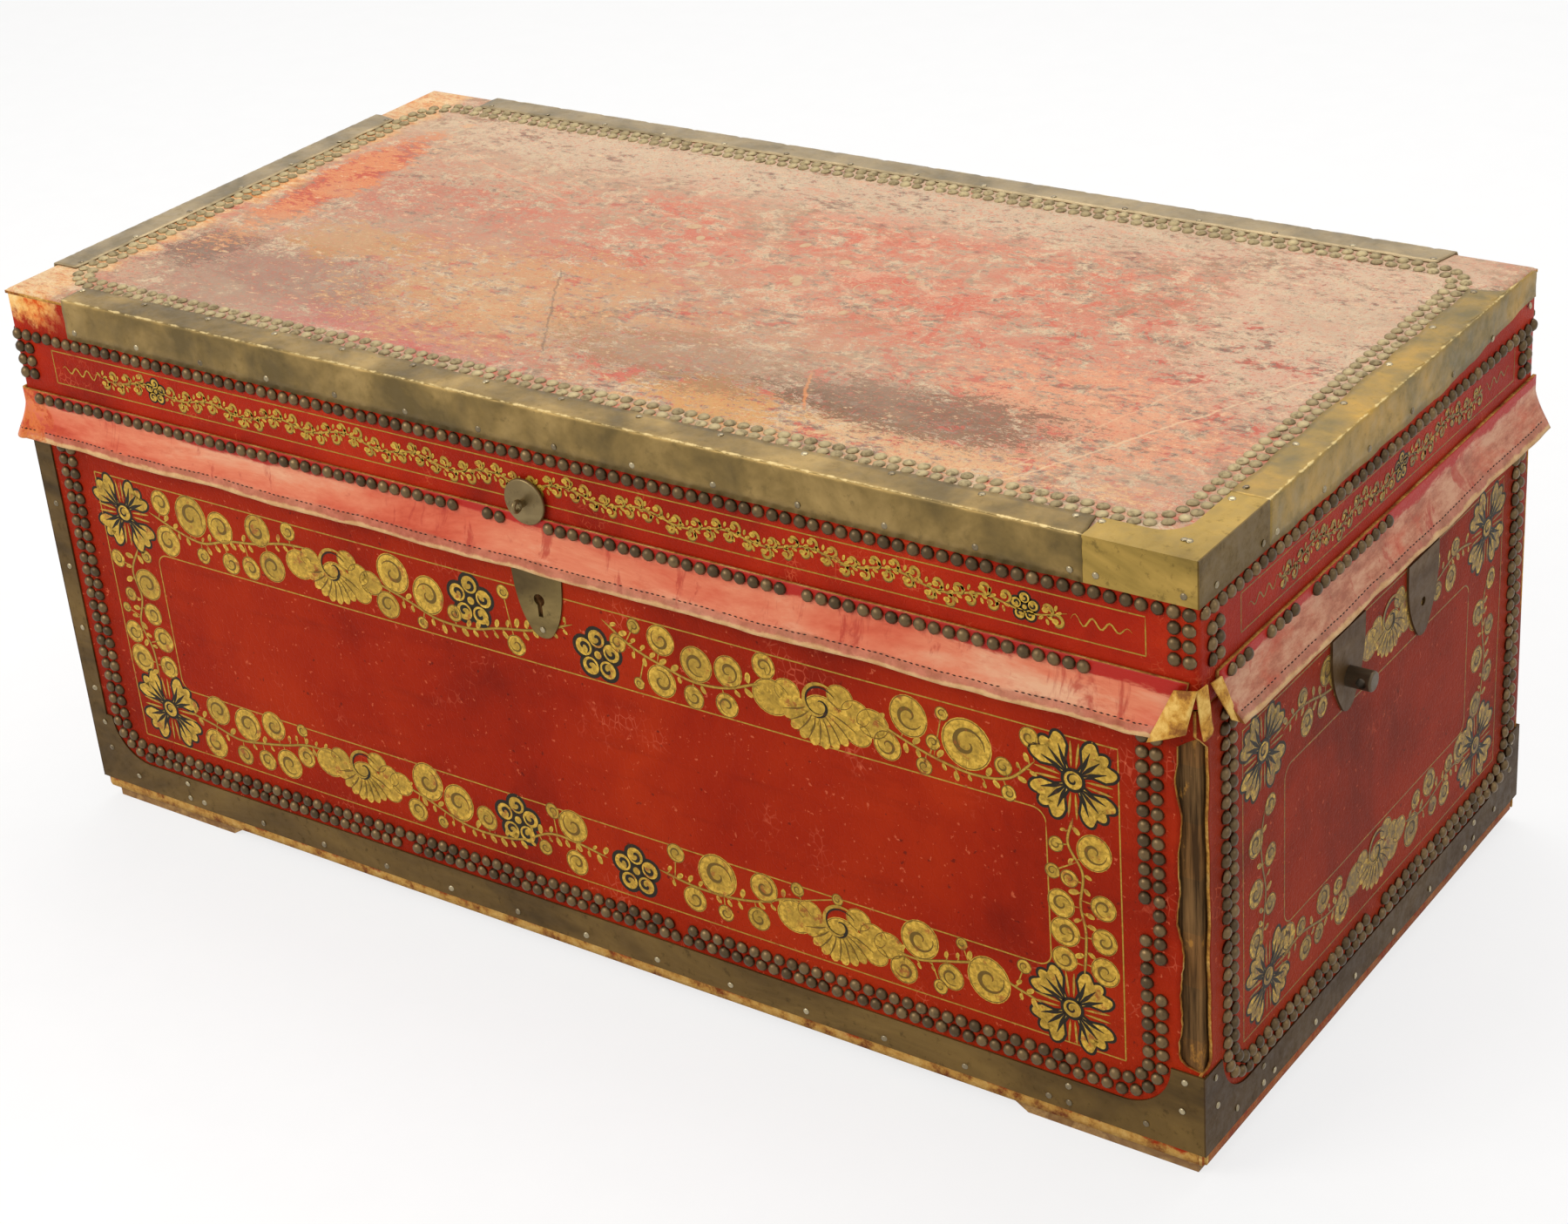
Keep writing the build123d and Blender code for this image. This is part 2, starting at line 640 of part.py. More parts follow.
rose = Cylinder(ROSE_RADIUS, ROSE_THICK)
rose = fillet(rose.edges().filter_by(GeomType.CIRCLE).sort_by(Axis.Z)[-1], 1.2)
boss = Cylinder(ROSE_BOSS, SKIRT, align=(Align.CENTER, Align.CENTER, Align.MAX))
rose += Pos(0, 0, -ROSE_THICK / 2) * boss
save("lid_rose", on_face("front", LOCK_X, ROSE_Z, SKIRT + ROSE_THICK / 2) * rose)

eye_out = EYE_REACH - SKIRT - ROSE_THICK - EYE_RADIUS - EYE_WIRE
eye = Pos(0, 0, eye_out) * Rot(0, 90, 0) * Torus(EYE_RADIUS, EYE_WIRE)
eye += Cylinder(2.6, eye_out - EYE_RADIUS + EYE_WIRE, align=(Align.CENTER, Align.CENTER, Align.MIN))
save("ring_eye", on_face("front", LOCK_X, ROSE_Z, SKIRT + ROSE_THICK) * eye)

# Handles at the ends: two plates and two posts each. The right one has lost a post and
# its bail, and the empty hole goes through the wall.
PLATE_HALF = 22.0
PLATE_TOP = 33.0
PLATE_TIP = -23.0
PLATE_THICK = 1.6
POST_RADIUS = 6.5
EYE_BORE = 3.3
EYE_OUT = 12.0
POST_ROUND = 1.5
NUT_ACROSS = 13.0
NUT_THICK = 5.0

handle_plate = extrude(shield(PLATE_HALF, PLATE_TOP, PLATE_TIP, 8.0), PLATE_THICK)
handle_plate -= Cylinder(SHANK_RADIUS, 4 * PLATE_THICK)
post_length = POST_REACH - PLATE_THICK
post = Cylinder(POST_RADIUS, post_length, align=(Align.CENTER, Align.CENTER, Align.MIN))
post = fillet(post.edges().filter_by(GeomType.CIRCLE).sort_by(Axis.Z)[-1], POST_ROUND)
shank_length = PLATE_THICK + WALL + NUT_THICK
post += Cylinder(SHANK_RADIUS, shank_length, align=(Align.CENTER, Align.CENTER, Align.MAX))
post -= Pos(0, 0, EYE_OUT - PLATE_THICK) * Rot(0, 90, 0) * Cylinder(EYE_BORE, 4 * POST_RADIUS)
nut_outline = RegularPolygon(NUT_ACROSS / 2, 6, major_radius=False) - Circle(SHANK_RADIUS)
nut = extrude(nut_outline, NUT_THICK)

for side, places in (("left", POSTS_ALONG), ("right", POSTS_ALONG[:1])):
    plates = [on_face(side, where, POST_Z) * handle_plate for where in POSTS_ALONG]
    save(f"handle_plates_{side}", group(plates))
    placed = [on_face(side, where, POST_Z, PLATE_THICK) * post for where in places]
    save(f"handle_posts_{side}", group(placed))
nut_places = [("left", POSTS_ALONG[0]), ("left", POSTS_ALONG[1]), ("right", POSTS_ALONG[0])]
nuts = [on_face(side, where, POST_Z, -WALL - NUT_THICK) * nut for side, where in nut_places]
save("handle_nuts", group(nuts))

# Left bail: a bent rod that hangs from the posts and swings up on them.
BAIL_RADIUS = 3.0
GRIP_RADIUS = 5.0
BAIL_DROP = 44.0
BAIL_BEND = 12.0
ARM_CLEAR = 1.0
STUB = 1.5
BURR_RADIUS = 4.6
BURR_THICK = 1.5

bail_x = LEFT - EYE_OUT
near_y, far_y = (MIDDLE + along for along in POSTS_ALONG)
arm_near = near_y + POST_RADIUS + ARM_CLEAR + BAIL_RADIUS
arm_far = far_y - POST_RADIUS - ARM_CLEAR - BAIL_RADIUS
end_near = near_y - POST_RADIUS - STUB
end_far = far_y + POST_RADIUS + STUB
eye_bend = 1.2 * BAIL_RADIUS
rod_path = FilletPolyline(
    (bail_x, end_near, POST_Z),
    (bail_x, arm_near, POST_Z),
    (bail_x, arm_near, POST_Z - BAIL_DROP),
    (bail_x, arm_far, POST_Z - BAIL_DROP),
    (bail_x, arm_far, POST_Z),
    (bail_x, end_far, POST_Z),
    radius=[eye_bend, BAIL_BEND, BAIL_BEND, eye_bend],
)
rod_start = Plane(origin=(bail_x, end_near, POST_Z), z_dir=(0, 1, 0))
bail = sweep(rod_start * Circle(BAIL_RADIUS), path=rod_path)
grip_half = (arm_far - arm_near) / 2 - BAIL_BEND
grip_profile = make_face([
    Line((0, -grip_half), (BAIL_RADIUS, -grip_half)),
    ThreePointArc((BAIL_RADIUS, -grip_half), (GRIP_RADIUS, 0), (BAIL_RADIUS, grip_half)),
    Line((BAIL_RADIUS, grip_half), (0, grip_half)),
    Line((0, grip_half), (0, -grip_half)),
])
grip_centre = Plane(
    origin=(bail_x, (arm_near + arm_far) / 2, POST_Z - BAIL_DROP), x_dir=(1, 0, 0), z_dir=(0, 0, 1)
)
bail += grip_centre * revolve(grip_profile, Axis.Y)
for y, hand in ((end_near, -1), (end_far, 1)):
    burr = Plane(origin=(bail_x, y, POST_Z), z_dir=(0, hand, 0)) * Cylinder(
        BURR_RADIUS, BURR_THICK, align=(Align.CENTER, Align.CENTER, Align.MIN)
    )
    bail += burr
save("bail_left", bail)

# Lock, behind the front board: a case with a slot in its top for the lid's staple, and a
# bolt that slides sideways through the staple. Seen from the front the bolt moves right.
LOCK_HALF = 42.0
LOCK_TOP = BODY_TOP
LOCK_LOW = 254.0
LOCK_DEEP = 16.0
LOCK_WALL = 1.6
BOLT_Z = 306.0
BOLT_HIGH = 7.0
BOLT_THICK = 4.5
BOLT_LENGTH = 32.0
BOLT_TRAVEL = 9.0
STAPLE_THICK = 2.6
STAPLE_HALF = 4.6
BOLT_NOSE = -3.0
GUIDE_GAP = 0.3

to_lock = Pos(LOCK_X, 0, 0)
lock_near = FRONT + WALL
lock_far = lock_near + LOCK_DEEP
bolt_y = lock_near + LOCK_DEEP / 2
lock = block(-LOCK_HALF, LOCK_HALF, lock_near, lock_far, LOCK_LOW, LOCK_TOP)
lock -= block(
    -LOCK_HALF + LOCK_WALL,
    LOCK_HALF - LOCK_WALL,
    lock_near + LOCK_WALL,
    lock_far - LOCK_WALL,
    LOCK_LOW + LOCK_WALL,
    LOCK_TOP - LOCK_WALL,
)
slot_x = STAPLE_THICK / 2 + 1.2
slot_y = STAPLE_HALF + 1.4
lock -= block(-slot_x, slot_x, bolt_y - slot_y, bolt_y + slot_y, LOCK_TOP - 2 * LOCK_WALL, LOCK_TOP + 1)
lock -= Pos(-LOCK_X, 0, 0) * keyhole_cut(WALL + LOCK_WALL + 1)
guide_y = (lock_near + LOCK_WALL, lock_far - LOCK_WALL)
guide_z = (BOLT_Z - BOLT_HIGH, LOCK_TOP - LOCK_WALL)
bolt_hole = block(
    -LOCK_HALF + 2 * LOCK_WALL,
    LOCK_HALF - 2 * LOCK_WALL,
    bolt_y - BOLT_THICK / 2 - GUIDE_GAP,
    bolt_y + BOLT_THICK / 2 + GUIDE_GAP,
    BOLT_Z - BOLT_HIGH / 2 - GUIDE_GAP,
    BOLT_Z + BOLT_HIGH / 2 + GUIDE_GAP,
)
for guide_x in (-32.0, -12.0, 9.0):
    lock += block(guide_x, guide_x + 4, *guide_y, *guide_z) - bolt_hole
save("lock_case", to_lock * lock)

bolt_y_range = (bolt_y - BOLT_THICK / 2, bolt_y + BOLT_THICK / 2)
bolt = block(
    BOLT_NOSE - BOLT_LENGTH, BOLT_NOSE, *bolt_y_range, BOLT_Z - BOLT_HIGH / 2, BOLT_Z + BOLT_HIGH / 2
)
talon = block(
    BOLT_NOSE - 24.5, BOLT_NOSE - 19.5, *bolt_y_range, BOLT_Z - BOLT_HIGH / 2 - 8, BOLT_Z - BOLT_HIGH / 2
)
save("lock_bolt", to_lock * (bolt + talon))

# Staple plate, screwed inside the lid's front: its loop drops through the slot in the lock.
STAPLE_PLATE_HALF = 24.0
STAPLE_PLATE_HIGH = 30.0
STAPLE_PLATE = 2.0
STAPLE_LOW = BOLT_Z - BOLT_HIGH / 2 - 3.6
loop_wall = 1.6

staple = block(
    -STAPLE_PLATE_HALF,
    STAPLE_PLATE_HALF,
    lock_near,
    lock_near + STAPLE_PLATE,
    LID_BOTTOM,
    LID_BOTTOM + STAPLE_PLATE_HIGH,
)
staple += block(
    -STAPLE_PLATE_HALF / 2,
    STAPLE_PLATE_HALF / 2,
    lock_near,
    bolt_y + STAPLE_HALF,
    LID_BOTTOM,
    LID_BOTTOM + STAPLE_PLATE,
)
staple += block(
    -STAPLE_THICK / 2, STAPLE_THICK / 2, bolt_y - STAPLE_HALF, bolt_y + STAPLE_HALF, STAPLE_LOW, LID_BOTTOM
)
staple -= block(
    -STAPLE_THICK,
    STAPLE_THICK,
    bolt_y - STAPLE_HALF + loop_wall,
    bolt_y + STAPLE_HALF - loop_wall,
    STAPLE_LOW + loop_wall,
    LID_BOTTOM - 1,
)
save("staple_plate", to_lock * staple)

# Two butt hinges outside the back. Each has a leaf on the body with two knuckles, a leaf on
# the lid with one between them, and a pin fixed in the body's leaf.
LEAF_THICK = 2.0
LEAF_REACH = 44.0
LEAF_GAP = 0.8
KNUCKLES = 3
KNUCKLE_SPACE = 0.4
PIN_FIT_RADIUS = 2.2
RUNNING_RADIUS = 2.5
SCREW_RADIUS = 3.3
SCREW_HEIGHT = 1.1


def knuckle(x0, x1, bore):
    """A rolled knuckle about the hinge axis, from x0 to x1."""
    axis = Plane(origin=(x0, AXIS_Y, AXIS_Z), z_dir=(1, 0, 0))
    tube = Circle(KNUCKLE_RADIUS) - Circle(bore)
    return axis * extrude(tube, x1 - x0)


def leaf(centre, part):
    """One leaf with its knuckles; part is -1 for the body's leaf and 1 for the lid's."""
    half = LEAF_WIDTH / 2
    start = AXIS_Z + part * (KNUCKLE_RADIUS + LEAF_GAP)
    end = AXIS_Z + part * LEAF_REACH
    low, high = min(start, end), max(start, end)
    plate = block(centre - half, centre + half, BACK, BACK + LEAF_THICK, low, high)
    pitch = LEAF_WIDTH / KNUCKLES
    bore = PIN_FIT_RADIUS if part < 0 else RUNNING_RADIUS
    for i in range(KNUCKLES):
        if (i % 2 == 0) == (part < 0):
            x0 = centre - half + i * pitch + KNUCKLE_SPACE / 2
            x1 = x0 + pitch - KNUCKLE_SPACE
            web = (min(AXIS_Z + part * 2.6, start), max(AXIS_Z + part * 2.6, start))
            plate += block(x0, x1, BACK, BACK + LEAF_THICK, *web)
            plate += knuckle(x0, x1, bore)
    return plate


def slotted_head():
    """A screw head, bevelled round its edge, with its slot."""
    head = Cone(SCREW_RADIUS, SCREW_RADIUS - 0.7, SCREW_HEIGHT, align=(Align.CENTER, Align.CENTER, Align.MIN))
    return head - Pos(0, 0, SCREW_HEIGHT) * Box(2 * SCREW_RADIUS + 1, 0.9, 0.9)


screw = slotted_head()
hinge_pins = []
case_screws = []
lid_screws = []
for name, centre in zip(("left", "right"), HINGES_X):
    save(f"hinge_{name}_body_leaf", leaf(centre, -1))
    save(f"hinge_{name}_lid_leaf", leaf(centre, 1))
    half = LEAF_WIDTH / 2
    rod = Cylinder(PIN_FIT_RADIUS, LEAF_WIDTH, align=(Align.CENTER, Align.CENTER, Align.MIN))
    hinge_pins.append(Plane(origin=(centre - half, AXIS_Y, AXIS_Z), z_dir=(1, 0, 0)) * rod)
    for dx, dz in ((-17, 13), (17, 13), (0, 24), (-17, 36), (17, 36)):
        case_screws.append(on_face("back", centre + dx, AXIS_Z - dz, LEAF_THICK) * screw)
        lid_screws.append(on_face("back", centre + dx, AXIS_Z + dz, LEAF_THICK) * screw)
save("hinge_pins", group(hinge_pins))

inward = Plane(origin=(0, lock_far, 0), x_dir=(-1, 0, 0), z_dir=(0, 1, 0))
case_screws += [inward * Pos(x - LOCK_X, z, 0) * screw for x in (-36, 36) for z in (260, 292)]
inside_lid = Plane(origin=(0, lock_near + STAPLE_PLATE, 0), x_dir=(-1, 0, 0), z_dir=(0, 1, 0))
lid_screws += [inside_lid * Pos(x - LOCK_X, LID_BOTTOM + 20, 0) * screw for x in (-17, 17)]
save("case_screws", group(case_screws))
save("lid_screws", group(lid_screws))
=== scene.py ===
import math

import bmesh
import bpy
import numpy as np
from mathutils import Matrix, Vector


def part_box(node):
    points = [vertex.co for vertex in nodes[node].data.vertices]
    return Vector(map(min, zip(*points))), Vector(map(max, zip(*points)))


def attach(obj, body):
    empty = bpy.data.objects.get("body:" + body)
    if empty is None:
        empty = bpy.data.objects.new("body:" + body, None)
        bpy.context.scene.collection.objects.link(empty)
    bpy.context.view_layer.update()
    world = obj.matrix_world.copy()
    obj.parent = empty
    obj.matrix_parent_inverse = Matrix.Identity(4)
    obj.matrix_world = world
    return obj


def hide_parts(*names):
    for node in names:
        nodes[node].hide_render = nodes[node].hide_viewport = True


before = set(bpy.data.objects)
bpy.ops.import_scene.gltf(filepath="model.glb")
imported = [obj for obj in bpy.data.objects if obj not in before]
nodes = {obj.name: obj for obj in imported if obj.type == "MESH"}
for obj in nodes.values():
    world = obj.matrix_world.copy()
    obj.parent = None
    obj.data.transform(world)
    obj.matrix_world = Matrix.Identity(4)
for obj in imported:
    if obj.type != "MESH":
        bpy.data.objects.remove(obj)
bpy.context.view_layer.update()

# ---- The picture -----------------------------------------------------------------------
# The chest is seen from above its right front corner, in soft light from overhead and the
# left, on a white ground that keeps only a faint shadow. Sizes are millimetres from here on.
MM = 0.001
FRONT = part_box("leather_front")[0].y / MM
CAMERA_AT = (1119.8, FRONT - 1233.5, 1132.5)
CAMERA_ROUND = math.radians(37.157)
CAMERA_UP = math.radians(27.957)
CAMERA_ROLL = math.radians(-4.896)
CAMERA_LENS, CAMERA_SENSOR = 68.94, 36.0

backward = Vector((
    math.sin(CAMERA_ROUND) * math.cos(CAMERA_UP),
    -math.cos(CAMERA_ROUND) * math.cos(CAMERA_UP),
    math.sin(CAMERA_UP),
))
level = (-backward).cross(Vector((0, 0, 1))).normalized()
upward = level.cross(-backward)
rolled = level * math.cos(CAMERA_ROLL) + upward * math.sin(CAMERA_ROLL)
tilted = upward * math.cos(CAMERA_ROLL) - level * math.sin(CAMERA_ROLL)

camera_data = bpy.data.cameras.new("camera")
camera_data.sensor_width = CAMERA_SENSOR
camera_data.lens = CAMERA_LENS
camera_data.clip_start = 0.05
camera = bpy.data.objects.new("camera", camera_data)
camera.matrix_world = Matrix.Translation(Vector(CAMERA_AT) * MM) @ Matrix(
    (rolled, tilted, backward)
).transposed().to_4x4()
bpy.context.scene.collection.objects.link(camera)
bpy.context.scene.camera = camera
bpy.context.scene.view_settings.view_transform = "Standard"


def area_light(name, place, aim, size, power, tint):
    """A soft rectangular lamp at place that faces aim, both in metres."""
    data = bpy.data.lights.new(name, "AREA")
    data.shape = "RECTANGLE"
    data.size, data.size_y = size
    data.energy = power
    data.color = tint
    lamp = bpy.data.objects.new(name, data)
    lamp.location = place
    lamp.rotation_euler = (Vector(aim) - Vector(place)).to_track_quat("-Z", "Y").to_euler()
    bpy.context.scene.collection.objects.link(lamp)


area_light("light_front", (-1.5, -2.6, 2.3), (0, -0.1, 0.2), (2.2, 1.6), 62, (1, 0.97, 0.93))
area_light("light_above", (-0.2, 0.9, 2.7), (0, 0, 0.4), (2.6, 1.6), 46, (1, 0.98, 0.95))
area_light("light_side", (2.8, 0.4, 1.6), (0.3, 0, 0.2), (1.4, 1.2), 10, (0.96, 0.98, 1))


class Value:
    """A node's number. Plain signs between values, or a value and a number, add Math nodes."""

    def __init__(self, shader, socket):
        self.shader, self.socket = shader, socket

    def reckon(self, operation, other=0.0):
        """The outcome of one Math node."""
        node = self.shader.add("ShaderNodeMath", {0: self, 1: other}, operation=operation)
        return Value(self.shader, node.outputs[0])

    def __add__(self, other):
        return self.reckon("ADD", other)

    def __sub__(self, other):
        return self.reckon("SUBTRACT", other)

    def __mul__(self, other):
        return self.reckon("MULTIPLY", other)

    def __truediv__(self, other):
        return self.reckon("DIVIDE", other)

    def __abs__(self):
        return self.reckon("ABSOLUTE")


class Shader:
    """A node material with short ways to add the nodes that feed its Principled shader."""

    def __init__(self, name, **sockets):
        self.material = bpy.data.materials.new(name)
        self.material.use_nodes = True
        self.tree = self.material.node_tree
        self.principled = self.tree.nodes["Principled BSDF"]
        self.where = self.add("ShaderNodeTexCoord").outputs["Object"]
        for socket, value in sockets.items():
            self.put(self.principled.inputs[socket.replace("_", " ")], value)

    def put(self, socket, value):
        """Sets a socket to a value, or links another node's output to it."""
        if isinstance(value, Value):
            value = value.socket
        if isinstance(value, bpy.types.NodeSocket):
            self.tree.links.new(value, socket)
        else:
            socket.default_value = value

    def add(self, kind, inputs=(), **settings):
        """A node with its settings, and its first inputs in order."""
        node = self.tree.nodes.new(kind)
        for name, value in settings.items():
            setattr(node, name, value)
        for socket, value in dict(inputs).items():
            self.put(node.inputs[socket], value)
        return node

    def stretched(self, stretch, shift=(0, 0, 0)):
        """Object coordinates with each axis scaled, so that a pattern draws out along one."""
        inputs = {"Vector": self.where, "Scale": stretch, "Location": shift}
        return self.add("ShaderNodeMapping", inputs).outputs["Vector"]

    def noise(self, size, detail=4.0, rough=0.55, bend=0.0, where=None):
        """Cloudy noise from 0 to 1, its largest clouds about size millimetres across."""
        inputs = {
            "Vector": where or self.where,
            "Scale": 1000.0 / size,
            "Detail": detail,
            "Roughness": rough,
            "Distortion": bend,
        }
        return Value(self, self.add("ShaderNodeTexNoise", inputs).outputs["Fac"])

    def cells(self, size, feature="F1", where=None):
        """Distance to the nearest point, or the nearest edge, of random cells."""
        inputs = {"Vector": where or self.where, "Scale": 1000.0 / size}
        node = self.add("ShaderNodeTexVoronoi", inputs, feature=feature)
        return Value(self, node.outputs["Distance"])

    def ramp(self, value, low, high, start=0.0, end=1.0):
        """A smooth change from start to end while value goes from low to high."""
        inputs = {
            "Value": value, "From Min": low, "From Max": high, "To Min": start, "To Max": end,
        }
        node = self.add("ShaderNodeMapRange", inputs, interpolation_type="SMOOTHSTEP")
        return Value(self, node.outputs["Result"])

    def spread(self, value, start, end):
        """Start to end over the middle of a noise's reach, where most of it lies."""
        return self.ramp(value, 0.3, 0.7, start, end)

    def over(self, colour, tone, value, low, high, most=1.0):
        """A tone laid over a colour: not where value is low, and up to most where it is high."""
        return self.mix(self.ramp(value, low, high, 0.0, most), colour, tone)

    def mix(self, share, first, second):
        """A mix of two colours."""
        inputs = {0: share, 6: first, 7: second}
        return self.add("ShaderNodeMix", inputs, data_type="RGBA").outputs[2]

    def tones(self, value, *stops):
        """Colours laid along a value, each stop a place and a colour."""
        node = self.add("ShaderNodeValToRGB", {"Fac": value})
        elements = node.color_ramp.elements
        while len(elements) < len(stops):
            elements.new(0.5)
        for element, (place, colour) in zip(elements, stops):
            element.position = place
            element.color = colour
        return node.outputs["Color"]

    def axis(self, name):
        """One of the object coordinates in millimetres."""
        parts = self.add("ShaderNodeSeparateXYZ", {0: self.where})
        return Value(self, parts.outputs[name]) * 1000.0

    def value_of(self, attribute):
        """A value kept on the mesh's points."""
        node = self.add("ShaderNodeAttribute", attribute_name=attribute)
        return Value(self, node.outputs["Fac"])

    def bump(self, *heights):
        """Surface relief: each height is a value and its depth in millimetres."""
        normal = None
        for height, depth in heights:
            inputs = {"Height": height, "Distance": depth * MM, "Strength": 1.0}
            if normal is not None:
                inputs["Normal"] = normal
            normal = self.add("ShaderNodeBump", inputs).outputs["Normal"]
        self.put(self.principled.inputs["Normal"], normal)

    def finish(self, colour, roughness):
        """Links the surface colour and roughness, and gives the material."""
        self.put(self.principled.inputs["Base Color"], colour)
        self.put(self.principled.inputs["Roughness"], roughness)
        return self.material


def rgb(red, green, blue):
    """A colour as the eye reads it, 0 to 255, turned to the linear light a shader takes."""
    shares = (red / 255, green / 255, blue / 255)
    linear = (((c + 0.055) / 1.055) ** 2.4 if c > 0.0393 else c / 12.92 for c in shares)
    return (*linear, 1)


def shade(colour, share):
    """A colour made darker, or lighter when share is above 1."""
    return (*(share * c for c in colour[:3]), 1)


def seen_ray(tree):
    """1 on the rays that show the background itself: the camera's, and those that a glossy
    or clear surface sends on."""
    path = tree.nodes.new("ShaderNodeLightPath")
    total = path.outputs["Is Camera Ray"]
    for ray in ("Is Glossy Ray", "Is Transmission Ray"):
        larger = tree.nodes.new("ShaderNodeMath")
        larger.operation = "MAXIMUM"
        tree.links.new(total, larger.inputs[0])
        tree.links.new(path.outputs[ray], larger.inputs[1])
        total = larger.outputs[0]
    return total


SHADOW_LEFT = 0.25


def ground_material():
    """White to the camera's eye, with a share of the real shadow left in."""
    paper = Shader("ground_paper")
    speckle = paper.noise(40.0)
    white = (1, 1, 1, 1)
    paper.finish(paper.tones(speckle, (0.3, shade(white, 0.88)), (0.7, shade(white, 0.92))), 0.9)
    share = Value(paper, seen_ray(paper.tree)) * (1 - SHADOW_LEFT)
    glow = paper.add("ShaderNodeEmission", {"Color": white, "Strength": 1.0})
    surfaces = {0: share, 1: paper.principled.outputs[0], 2: glow.outputs[0]}
    mixed = paper.add("ShaderNodeMixShader", surfaces)
    paper.put(paper.tree.nodes["Material Output"].inputs["Surface"], mixed.outputs[0])
    return paper.material


GROUND_REACH = 6.0
GROUND_DROP = 0.0005
ground_corners = [(x * GROUND_REACH, y * GROUND_REACH, -GROUND_DROP)
                  for x, y in ((-1, -1), (1, -1), (1, 1), (-1, 1))]
ground_mesh = bpy.data.meshes.new("ground")
ground_mesh.from_pydata(ground_corners, [], [(0, 1, 2, 3)])
ground_mesh.materials.append(ground_material())
ground = bpy.data.objects.new("ground", ground_mesh)
bpy.context.scene.collection.objects.link(ground)

world = bpy.data.worlds.new("world")
world.use_nodes = True
bpy.context.scene.world = world
sky_tree = world.node_tree
sky = sky_tree.nodes["Background"]
sky.inputs["Color"].default_value = (1.0, 0.98, 0.96, 1)
sky.inputs["Strength"].default_value = 0.5
plain = sky_tree.nodes.new("ShaderNodeBackground")
plain.inputs["Color"].default_value = (1, 1, 1, 1)
chosen = sky_tree.nodes.new("ShaderNodeMixShader")
for number, socket in enumerate((seen_ray(sky_tree), sky.outputs[0], plain.outputs[0])):
    sky_tree.links.new(socket, chosen.inputs[number])
sky_tree.links.new(chosen.outputs[0], sky_tree.nodes["World Output"].inputs["Surface"])


# ---- Carcase ---------------------------------------------------------------------------
# Thin camphor boards, bare inside, with their long grain along each wall. The joint ends
# show at the right front corner, and the floor board's edge and the skids underneath.
LEFT, RIGHT = (corner.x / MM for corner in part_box("leather_front"))


def wood(name, along, light, dark):
    """Bare timber whose grain runs along one axis, with dust in it."""
    stretch = [1.0, 1.0, 1.0]
    stretch["XYZ".index(along)] = 0.06
    timber = Shader(name, Specular_IOR_Level=0.25)
    grain_space = timber.stretched(stretch)
    rings = timber.noise(38.0, 3.0, 0.5, 1.6, where=grain_space)
    pores = timber.noise(2.2, 3.0, 0.7, where=grain_space)
    dust = timber.noise(160.0, 5.0, 0.65)
    colour = timber.tones(rings, (0.30, dark), (0.46, light), (0.52, dark), (0.70, light))
    colour = timber.over(colour, dark, pores, 0.62, 0.35, 0.55)
    colour = timber.over(colour, rgb(150, 128, 100), dust, 0.45, 0.7, 0.35)
    timber.bump((pores, 0.25), (rings, 0.5))
    return timber.finish(colour, timber.spread(pores, 0.62, 0.85))


def torn_corner_wood(name, inside, joint):
    """A board that is bare inside, and dark and fibrous where the leather has torn away from
    its joint at the right front corner."""
    timber = Shader(name, Specular_IOR_Level=0.1)
    fibres = timber.noise(5.0, 4.0, 0.7, where=timber.stretched((1.0, 1.0, 0.05)))
    grain = timber.noise(30.0, 3.0, 0.5, 1.6, where=timber.stretched((0.06, 0.06, 1.0)))
    stains = timber.noise(16.0, 5.0, 0.7, where=timber.stretched((1.0, 1.0, 0.5)))
    dark, light = shade(joint, 0.32), shade(joint, 1.7)
    corner = timber.tones(fibres, (0.36, dark), (0.5, joint), (0.68, light))
    corner = timber.over(corner, rgb(172, 122, 54), stains, 0.54, 0.62, 0.7)
    bare = timber.over(shade(inside, 0.5), inside, grain, 0.36, 0.6)
    right = timber.ramp(timber.axis("X"), RIGHT - 34, RIGHT - 32)
    front = timber.ramp(timber.axis("Y"), FRONT + 22, FRONT + 24, 1.0, 0.0)
    timber.bump((fibres, 0.5), (grain, 0.3))
    return timber.finish(timber.mix(right * front, bare, corner), 0.8)


def dress(material, *names):
    """Gives CAD nodes a material."""
    for name in names:
        mesh = nodes[name].data
        mesh.materials.clear()
        mesh.materials.append(material)


along_wood = wood("camphor_lengthways", "X", rgb(176, 128, 78), rgb(128, 84, 46))
across_wood = wood("camphor_end_walls", "Y", rgb(150, 104, 62), rgb(98, 64, 36))
skid_wood = wood("skid_timber", "Y", rgb(186, 148, 92), rgb(130, 92, 52))
dress(along_wood, "body_back_board", "bottom_board")
dress(torn_corner_wood("camphor_front", rgb(176, 128, 78), rgb(98, 72, 42)), "body_front_board")
dress(torn_corner_wood("camphor_right", rgb(150, 104, 62), rgb(108, 76, 42)), "body_right_board")
dress(along_wood, "lid_front_board", "lid_back_board", "lid_top_board")
dress(across_wood, "body_left_board", "lid_left_board", "lid_right_board")
dress(skid_wood, "skid_left", "skid_right")


# ---- Body leather ----------------------------------------------------------------------
# Red lacquered pigskin, one sheet on each wall, a little loose over the boards. Along the
# right front corner it has torn away, and its edges curl. Below the brass it is worn bare.
FOOT, BODY_TOP = (corner.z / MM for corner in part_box("leather_front"))
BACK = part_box("leather_back")[1].y / MM
LID_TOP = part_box("lid_leather_top")[1].z / MM
LEATHER = 2.0
SHEET_STEP = 4.0
EDGE_ROUND = 2.0
TEAR_LOW, TEAR_HIGH = 76.0, 300.0
TEAR_ON_FRONT, TEAR_ON_SIDE = 13.5, 4.0
SWAY_ON_FRONT, SWAY_ON_SIDE = 3.0, 1.5
CURL_ON_FRONT, CURL_ON_SIDE = 2.2, 1.6
CURLED_ON_FRONT, CURLED_ON_SIDE = 9.0, 7.0


